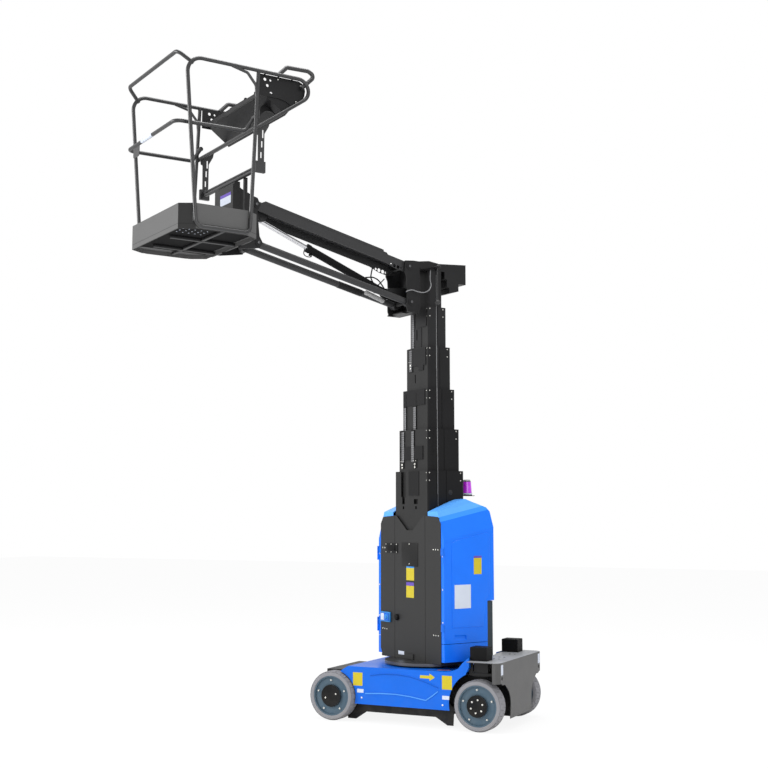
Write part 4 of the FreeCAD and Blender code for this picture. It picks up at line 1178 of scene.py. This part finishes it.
    def beacon_lens(self) -> None:
        """Ribbed lens of the beacon with a pale rim below and a crown above."""
        outline = [(0.0, 0.102), (0.034, 0.102)]
        for step in range(8):
            z = 0.098 - step * 0.012
            r = 0.0372 + step * 0.0008
            outline += [(r, z), (r + 0.0014, z - 0.006)]
        outline += [(0.0445, 0.001), (0.0, 0.001)]
        rim = [(0.0, -0.001), (0.0475, -0.001), (0.0475, -0.012), (0.0, -0.012)]
        crown = [(0.0, 0.118), (0.026, 0.118), (0.031, 0.114), (0.035, 0.103), (0.0, 0.103)]
        for name, line, paint in (
            ("beacon_lens", outline, Paint.LENS), ("beacon_rims", rim, Paint.WHITE),
            ("beacon_crown", crown, Paint.SLEEVE),
        ):
            self.stand(spun(name, line, 36), self.beacon_foot, UP, "turret", paint, "beacon_lens")


@dataclass
class Mast(Assembly):
    """Telescoping sections with their chains, screws and head."""

    tops: tuple[float, ...] = (2.091, 2.451, 2.798, 3.169, 3.522)
    head_top: float = 3.780
    half: float = 0.250
    step: float = 0.027
    front: float = MAST_FRONT
    step_front: float = MAST_STEP
    rear: float = -0.229
    step_rear: float = 0.025
    drops: Pair = (0.018, 0.083)
    proud: Pair = (0.0012, 0.0002)
    pad_screw_r: float = 0.0052
    front_screw_r: float = 0.0042
    screw_behind: float = 0.015
    screw_ahead: float = 0.037
    screw_in: float = 0.024
    nut_height: float = 0.004
    anchor_proud: float = 0.006
    link_pitch: float = 0.019
    wire: Pair = (0.050, 0.256)
    wire_step: float = 0.0026
    wire_tail: float = 0.560
    wire_r: float = 0.0012
    beads: int = 20
    bead_pitch: float = 0.0137
    bead_r: float = 0.0065
    bead_top: float = 3.827
    ball_z: float = 3.534

    def build(self) -> None:
        """Coat the mast and add its fastenings and chains."""
        for index in range(1, 7):
            self.coat(Paint[f"MAST_{index}"], f"mast_section_{index}")
        self.coat(Paint.BLACK, "mast_head")
        self.pad_screws()
        self.chains()
        self.anchors()
        self.side_disc()
        self.lowering_wire()
        self.bead_chain()

    def body(self, index: int) -> str:
        """Body that carries the section with this index."""
        return "turret" if index == 0 else f"stage_{index + 1}"

    def pad_screws(self) -> None:
        """Pairs of screws that hold the slide pads at each section's top."""
        for index, top in enumerate(self.tops):
            half = self.half - self.step * index
            front = self.front - self.step_front * index
            rear = self.rear + self.step_rear * index
            spots = []
            for drop, proud in zip(self.drops, self.proud):
                z = top - drop
                spots += [
                    ((u, sign * half, z), (0, sign, 0), self.pad_screw_r, proud)
                    for sign in (-1, 1) for u in (front - self.screw_behind, rear + self.screw_ahead)
                ]
                spots.append(((front, half - self.screw_in, z), AHEAD, self.front_screw_r, proud))
            self.heads(f"pad_screws_{index + 1}", self.body(index), spots, sides=10)

    def link(self) -> bpy.types.Object:
        """One leaf-chain link with a raised middle."""
        piece = rounded_block("chain_link", (0.0165, 0.036, 0.0022), 0.0009, 1)
        edit_all(piece)
        pick_faces(piece, lambda centre, normal: normal.z > 0.9)
        bpy.ops.mesh.inset(thickness=0.003, depth=0.0008)
        leave_edit()
        return piece

    def chains(self) -> None:
        """Leaf chains on the fronts of the second to fifth sections."""
        ground = self.places[Side.TURRET]
        for name, index, v, low, high, proud in (
            ("chain_left_3", 2, -0.149, 2.155, 2.655, 0.0075),
            ("chain_right_3", 2, 0.0, 2.155, 2.655, 0.0075),
            ("chain_left_2", 1, -0.149, 2.170, 2.440, 0.0075),
            ("chain_right_2", 1, 0.0, 2.170, 2.440, 0.0075),
            ("chain_5", 4, -0.089, 2.905, 3.505, 0.006),
            ("chain_4", 3, -0.094, 2.965, 3.165, 0.006),
        ):
            front = self.front - self.step_front * index + proud
            places = [
                ground.facing((front, v, low + self.link_pitch * (n + 0.5)), AHEAD, math.pi / 2)
                for n in range(int((high - low) / self.link_pitch))
            ]
            self.fit(copies(self.link(), name, places), self.body(index), Paint.CHAIN, "ring_steel")

    def anchors(self) -> None:
        """Chain anchors with bright nuts on the second and fourth sections."""
        nuts = ((0.0, 0.0, 0.011), (0.0, -0.026, 0.009), (-0.014, 0.030, 0.005), (0.014, 0.030, 0.005))
        for name, index, spots in (
            ("chain_anchor_2", 1, ((-0.160, 2.150), (0.033, 2.150))),
            ("chain_anchor_4", 3, ((-0.094, 3.020),)),
        ):
            front = self.front - self.step_front * index + self.anchor_proud
            self.heads(name, self.body(index), [
                ((front, v + dv, z + dz), AHEAD, r, self.nut_height) for v, z in spots for dv, dz, r in nuts
            ])

    def side_disc(self) -> None:
        """Round cover on each side of the base section."""
        for sign, side in ((1, "left"), (-1, "right")):
            disc = spun(f"base_disc_{side}", [
                (0.0, 0.004), (0.008, 0.004), (0.010, 0.0025), (0.019, 0.0025), (0.022, 0.0), (0.0, 0.0),
            ], 28)
            place = (-0.083, sign * self.half, 1.906)
            self.stand(disc, place, (0, sign, 0), "turret", Paint.TRAY, "black_steel")

    def lowering_wire(self) -> None:
        """Thin wire beside the mast, in one length for each moving section so that it slides with them."""
        ground = self.places[Side.TURRET]
        tops = (*self.tops, self.head_top)
        for index in range(1, 6):
            u = self.wire[0] + self.wire_step * index
            high, low = tops[index], tops[index - 1] - self.wire_tail
            points = [ground.point(u, self.wire[1], low + (high - low) * part) for part in (0.0, 0.5, 1.0)]
            piece = hose(f"lowering_wire_{index + 1}", points, self.wire_r)
            self.fit(piece, self.body(index), Paint.WIRE, "ring_steel")

    def bead_chain(self) -> None:
        """Arm on the head with a bead chain and a ball that hang beside the mast."""
        u, v = self.wire[0] + 0.015, self.wire[1] + 0.024
        arm = rounded_block("bead_arm", (0.036, 0.012, 0.176), 0.003, 2)
        self.stand(arm, (u, 0.115, 3.847), (0, 1, 0), "stage_6", Paint.BLACK, "black_steel")
        clear_selection()
        bpy.ops.mesh.primitive_uv_sphere_add(segments=10, ring_count=7, radius=self.bead_r)
        bead = bpy.context.object
        edit_all(bead)
        bpy.ops.transform.resize(value=(1.0, 1.0, 1.15))
        leave_edit()
        frame = self.places[Side.TURRET].matrix()
        chain = copies(bead, "bead_chain", [
            frame @ Matrix.Translation((u, v, self.bead_top - self.bead_pitch * step))
            for step in range(self.beads)
        ])
        self.fit(chain, "stage_6", Paint.LINK)
        ball = spun("bead_ball", [
            (0.0, 0.024), (0.006, 0.024), (0.009, 0.020), (0.016, 0.0155), (0.0215, 0.006), (0.0225, 0.0),
            (0.0205, -0.009), (0.014, -0.0175), (0.006, -0.0215), (0.0, -0.0225),
        ], 28)
        ball.data.transform(frame @ Matrix.Translation((u, v, self.ball_z)))
        self.fit(ball, "stage_6", Paint.LINK)


@dataclass
class Jib(Assembly):
    """Jib beam, lower tubes, lift cylinder and the head's loose lines."""

    pitch: float = math.radians(12.8)
    root: Pair = (0.270, 3.850)
    low_root: Pair = (0.250, 3.540)
    length: float = 1.520
    tip_back: float = 0.020
    tip_drop: float = 0.310
    bolt_height: float = 0.006
    sleeve_ribs: int = 16
    sleeve_r: float = 0.018
    rib: Pair = (0.0215, 0.0185)
    wrap_along: float = 0.36

    def line(self, name: str, body: str, paint: Paint, radius: float, points: list[Triple]) -> None:
        """A hose or cable along points of the turret frame.

        Args:
            name: the piece's name.
            body: the body that carries it.
            paint: its finish.
            radius: its radius.
            points: its control points.
        """
        ground = self.places[Side.TURRET]
        self.fit(hose(name, [ground.point(*point) for point in points], radius), body, paint)

    def build(self) -> None:
        """Coat the jib and add its hoses, sleeve and bolts."""
        self.coat(Paint.JIB, "jib_beam")
        self.coat(Paint.LINK, "jib_links")
        self.coat(Paint.PLASTIC, "jib_barrel")
        self.coat(Paint.CHROME, "jib_rod")
        for name, radius, points in (
            ("root_hose_a", 0.006, [
                (0.552, 0.0, 3.828), (0.570, 0.0, 3.764), (0.566, 0.0, 3.727), (0.543, 0.0, 3.698),
            ]),
            ("root_hose_b", 0.006, [
                (0.632, 0.012, 3.734), (0.598, 0.012, 3.740), (0.557, 0.014, 3.746),
                (0.506, 0.014, 3.730), (0.475, 0.014, 3.701), (0.437, 0.010, 3.657),
            ]),
            ("root_hose_c", 0.005, [(0.430, 0.0, 3.745), (0.464, 0.0, 3.710), (0.496, 0.0, 3.683)]),
            ("gland_hose", 0.004, [
                (1.225, 0.0, 3.905), (1.236, 0.0, 3.878), (1.220, 0.0, 3.856),
                (1.185, 0.0, 3.849), (1.150, 0.0, 3.856), (1.158, 0.0, 3.880),
            ]),
        ):
            self.line(name, "cylinder_barrel", Paint.HOSE, radius, points)
        self.line("head_hose", "stage_6", Paint.WIRE, 0.0045, [
            (0.310, 0.158, 3.622), (0.264, 0.166, 3.648), (0.204, 0.178, 3.628), (0.154, 0.204, 3.620),
            (0.124, 0.240, 3.638), (0.084, 0.217, 3.693), (0.078, 0.186, 3.742), (0.070, 0.182, 3.800),
            (0.066, 0.178, 3.836),
        ])
        self.sleeve()
        self.bolts()

    def sleeve(self) -> None:
        """Corrugated sleeve between the lower tubes, and the wrap on the far tube."""
        start, end = Vector((0.600, -0.038, 3.618)), Vector((0.415, -0.034, 3.556))
        length = (end - start).length
        outline = [(0.0, 0.0), (self.sleeve_r, 0.0)]
        pitch = length / self.sleeve_ribs
        for index in range(self.sleeve_ribs):
            z = pitch * (index + 0.25)
            outline += [(self.rib[0], z), (self.rib[1], z + pitch * 0.5)]
        outline += [(self.sleeve_r, length), (0.0, length)]
        piece = spun("cable_sleeve", outline, 20)
        self.stand(piece, tuple(start), tuple(end - start), "jib_link", Paint.SLEEVE)
        way = Vector((math.cos(self.pitch), 0, math.sin(self.pitch)))
        foot = Vector((self.low_root[0], -0.106, self.low_root[1])) + way * self.wrap_along
        wrap = spun("tube_wrap", [(0.0283, 0.0), (0.0302, 0.002), (0.0302, 0.238), (0.0283, 0.24)], 32)
        self.stand(wrap, tuple(foot), tuple(way), "jib_link", Paint.HOSE)

    def bolts(self) -> None:
        """Bolts at the pivots and on the head."""
        tip_u = self.root[0] + self.length * math.cos(self.pitch)
        tip_z = self.root[1] + self.length * math.sin(self.pitch)
        low_tip = (tip_u - self.tip_back, tip_z - self.tip_drop)
        for name, body, v, spots, radius in (
            ("head_bolts", "stage_6", 0.156, (self.root, self.low_root), 0.012),
            ("mount_bolts", "basket", 0.157, ((tip_u, tip_z), low_tip), 0.012),
            ("cap_bolts", "stage_6", 0.123, ((-0.017, 3.871), (0.006, 3.870)), 0.007),
        ):
            self.heads(name, body, [
                ((u, sign * v, z), (0, sign, 0), radius, self.bolt_height)
                for sign in (-1, 1) for u, z in spots
            ], Paint.STEEL, socket=False)


@dataclass
class Basket(Assembly):
    """Railed basket with its console."""

    box_face: float = 1.967
    floor_low: float = 3.856
    console_half: float = 0.503
    screw_size: Pair = (0.006, 0.004)
    drain_corner: Pair = (2.47, 0.23)
    drain_pitch: Pair = (0.05, 0.06)
    drain_size: Pair = (0.0055, 0.0008)
    boot_v: float = 0.090

    def build(self) -> None:
        """Coat the basket and add its ribs, labels and fittings."""
        self.coat(Paint.PAN, "basket_pan")
        self.coat(Paint.TUBE, "basket_rails", "gate_bar")
        self.coat(Paint.BLACK, "basket_mount", "console")
        self.coat(Paint.PLASTIC, "control_box")
        self.coat(Paint.GREY, "document_box")
        self.underside()
        self.markings()
        self.controls()

    def underside(self) -> None:
        """Near-black skin of painted shade under the floor, with pressed ribs and drain holes."""
        # A thin sheet of painted shade on the floor's underside.
        skin = rounded_block("floor_skin", (0.600, 0.840, 0.0015), 0.0005, 1)
        self.stand(skin, (2.230, 0.0, 3.8575), DOWN, "basket", Paint.UNDER_SHADE, "grey_sheet")
        over = Matrix.Rotation(math.pi, 4, "X")
        bars = []
        for u, v, size in (
            (2.160, 0.085, (0.600, 0.030, 0.022)), (2.140, -0.285, (0.600, 0.030, 0.022)),
            (2.196, 0.295, (0.028, 0.380, 0.020)), (2.190, -0.100, (0.028, 0.330, 0.020)),
            (2.188, -0.395, (0.028, 0.180, 0.020)),
        ):
            bar = rounded_block("floor_rib", size, 0.004, 2)
            place = Matrix.Translation((u, v, self.floor_low))
            bar.data.transform(self.places[Side.TURRET].matrix() @ place @ over)
            bars.append(bar)
        self.fit(joined(bars, "floor_ribs"), "basket", Paint.TRAY, "grey_sheet")
        (u, v), (du, dv) = self.drain_corner, self.drain_pitch
        self.heads("drain_holes", "basket", [
            ((u - du * column, v + dv * row, self.floor_low + 0.0002), DOWN, *self.drain_size)
            for row in range(3) for column in range(5)
        ], Paint.WHITE, 12, False, slot="grey_sheet")

    def markings(self) -> None:
        """Blank label on the box and the pale sleeve on the drop bar."""
        face = self.box_face
        self.plates([
            sticker("box_label", (face, 0.028, 4.208), AHEAD, (0.190, 0.062), Paint.WHITE),
            sticker("box_label_strip", (face, 0.028, 4.252), AHEAD, (0.190, 0.026), Paint.PURPLE),
        ], "basket")
        wrap = spun("bar_label", [(0.0151, 0.0), (0.0158, 0.001), (0.0158, 0.209), (0.0151, 0.210)], 28)
        self.stand(wrap, (2.600, -0.172, 4.640), (0, 1, 0), "gate", Paint.WHITE)

    def controls(self) -> None:
        """Stop button, lever boots and the console's screws."""
        button = spun("stop_button", [
            (0.0, 0.030), (0.012, 0.030), (0.021, 0.026), (0.024, 0.018), (0.022, 0.010),
            (0.0205, 0.0), (0.0, 0.0),
        ], 32)
        self.stand(button, (1.800, 0.0, 5.040), UP, "basket", Paint.RED)
        ground = self.places[Side.TURRET]
        outline = [(0.0, 0.032), (0.009, 0.032)]
        for index in range(4):
            z = 0.028 - index * 0.008
            outline += [(0.0125 + index * 0.004, z), (0.0105 + index * 0.004, z - 0.004)]
        outline += [(0.030, 0.0), (0.0, 0.0)]
        boots = [ground.facing((1.740, v, 5.050), UP) for v in (-self.boot_v, self.boot_v)]
        self.fit(copies(spun("lever_boot", outline, 24), "lever_boots", boots), "basket", Paint.HOSE)
        spots = ((1.56, 5.09), (1.60, 4.955), (1.76, 5.105), (1.93, 5.105), (1.93, 4.97))
        self.heads("console_screws", "basket", [
            ((u, sign * self.console_half, z), (0, sign, 0), *self.screw_size)
            for sign in (-1, 1) for u, z in spots
        ])


@dataclass(frozen=True)
class Lamp:
    """A soft square lamp and the point it is aimed at."""

    name: str
    spot: Triple
    aim: Triple
    power: float
    size: float = 5.0

    def light(self) -> None:
        """Add the lamp to the scene."""
        light = bpy.data.lights.new(self.name, "AREA")
        light.size = self.size
        light.energy = self.power
        lamp = bpy.data.objects.new(self.name, light)
        lamp.location = self.spot
        lamp.rotation_euler = (Vector(self.aim) - Vector(self.spot)).to_track_quat("-Z", "Y").to_euler()
        bpy.context.collection.objects.link(lamp)


@dataclass
class Studio:
    """Pale floor, soft lamps and the camera at the photo's angle."""

    places: dict[Side, Ground]
    azimuth: float = 0.4538
    pitch: float = 0.106
    height: float = 1.7266
    distance: float = 10.6218
    shift: float = -0.3615
    lens: float = 57.107
    floor: float = 30.0
    soft: float = 0.85
    lamps: tuple[Lamp, ...] = (
        Lamp("key_lamp", (-7.5, -6.0, 6.0), (0.0, 0.0, 2.6), 820.0),
        Lamp("fill_lamp", (6.0, -5.0, 4.0), (0.4, 0.4, 1.8), 190.0),
        Lamp("top_lamp", (0.5, 0.5, 9.5), (0.2, 0.2, 0.0), 420.0),
    )
    def camera(self) -> None:
        """Set the camera."""
        c, s = math.cos(self.azimuth), math.sin(self.azimuth)
        across, back = self.shift, -self.distance
        spot = Vector((c * across - s * back, s * across + c * back, self.height))
        view = bpy.data.cameras.new("photo_camera")
        view.lens = self.lens
        view.sensor_width = 36.0
        view.clip_end = 200.0
        camera = bpy.data.objects.new("photo_camera", view)
        camera.location = spot + self.places[Side.CHASSIS].origin
        camera.rotation_euler = (math.pi / 2 + self.pitch, 0.0, self.azimuth)
        bpy.context.collection.objects.link(camera)
        bpy.context.scene.camera = camera

    def world(self) -> None:
        """White surroundings to the camera, plain soft light on the object."""
        world = bpy.data.worlds.new("studio_world")
        world.use_nodes = True
        bpy.context.scene.world = world
        tree = world.node_tree
        tree.nodes.clear()
        path = tree.nodes.new("ShaderNodeLightPath")
        seen = tree.nodes.new("ShaderNodeMath")
        seen.operation = "MAXIMUM"
        tree.links.new(path.outputs["Is Camera Ray"], seen.inputs[0])
        tree.links.new(path.outputs["Is Transmission Ray"], seen.inputs[1])
        mix = tree.nodes.new("ShaderNodeMixShader")
        tree.links.new(seen.outputs[0], mix.inputs[0])
        for place, strength in ((1, self.soft), (2, 1.0)):
            back = tree.nodes.new("ShaderNodeBackground")
            back.inputs["Color"].default_value = (1.0, 1.0, 1.0, 1.0)
            back.inputs["Strength"].default_value = strength
            tree.links.new(back.outputs[0], mix.inputs[place])
        out = tree.nodes.new("ShaderNodeOutputWorld")
        tree.links.new(mix.outputs[0], out.inputs["Surface"])
        bpy.context.scene.view_settings.view_transform = "Standard"

    def build(self) -> None:
        """Floor, surroundings, lamps and camera."""
        clear_selection()
        bpy.ops.mesh.primitive_plane_add(size=self.floor * 2)
        ground = bpy.context.object
        ground.name = "studio_floor"
        ground.data.materials.append(StudioFloor().shade())
        self.world()
        for lamp in self.lamps:
            lamp.light()
        self.camera()


def main() -> None:
    """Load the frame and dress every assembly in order."""
    logging.basicConfig(level=logging.INFO, format="%(name)s: %(message)s")
    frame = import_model()
    clear_selection()
    places = grounds()
    shop = Shop()
    for kind in (Wheels, Chassis, Turret, Mast, Jib, Basket):
        LOG.info("building %s", kind.__name__)
        kind(places, shop, frame["nodes"]).build()
    Studio(places).build()


if __name__ == "__main__":
    main()
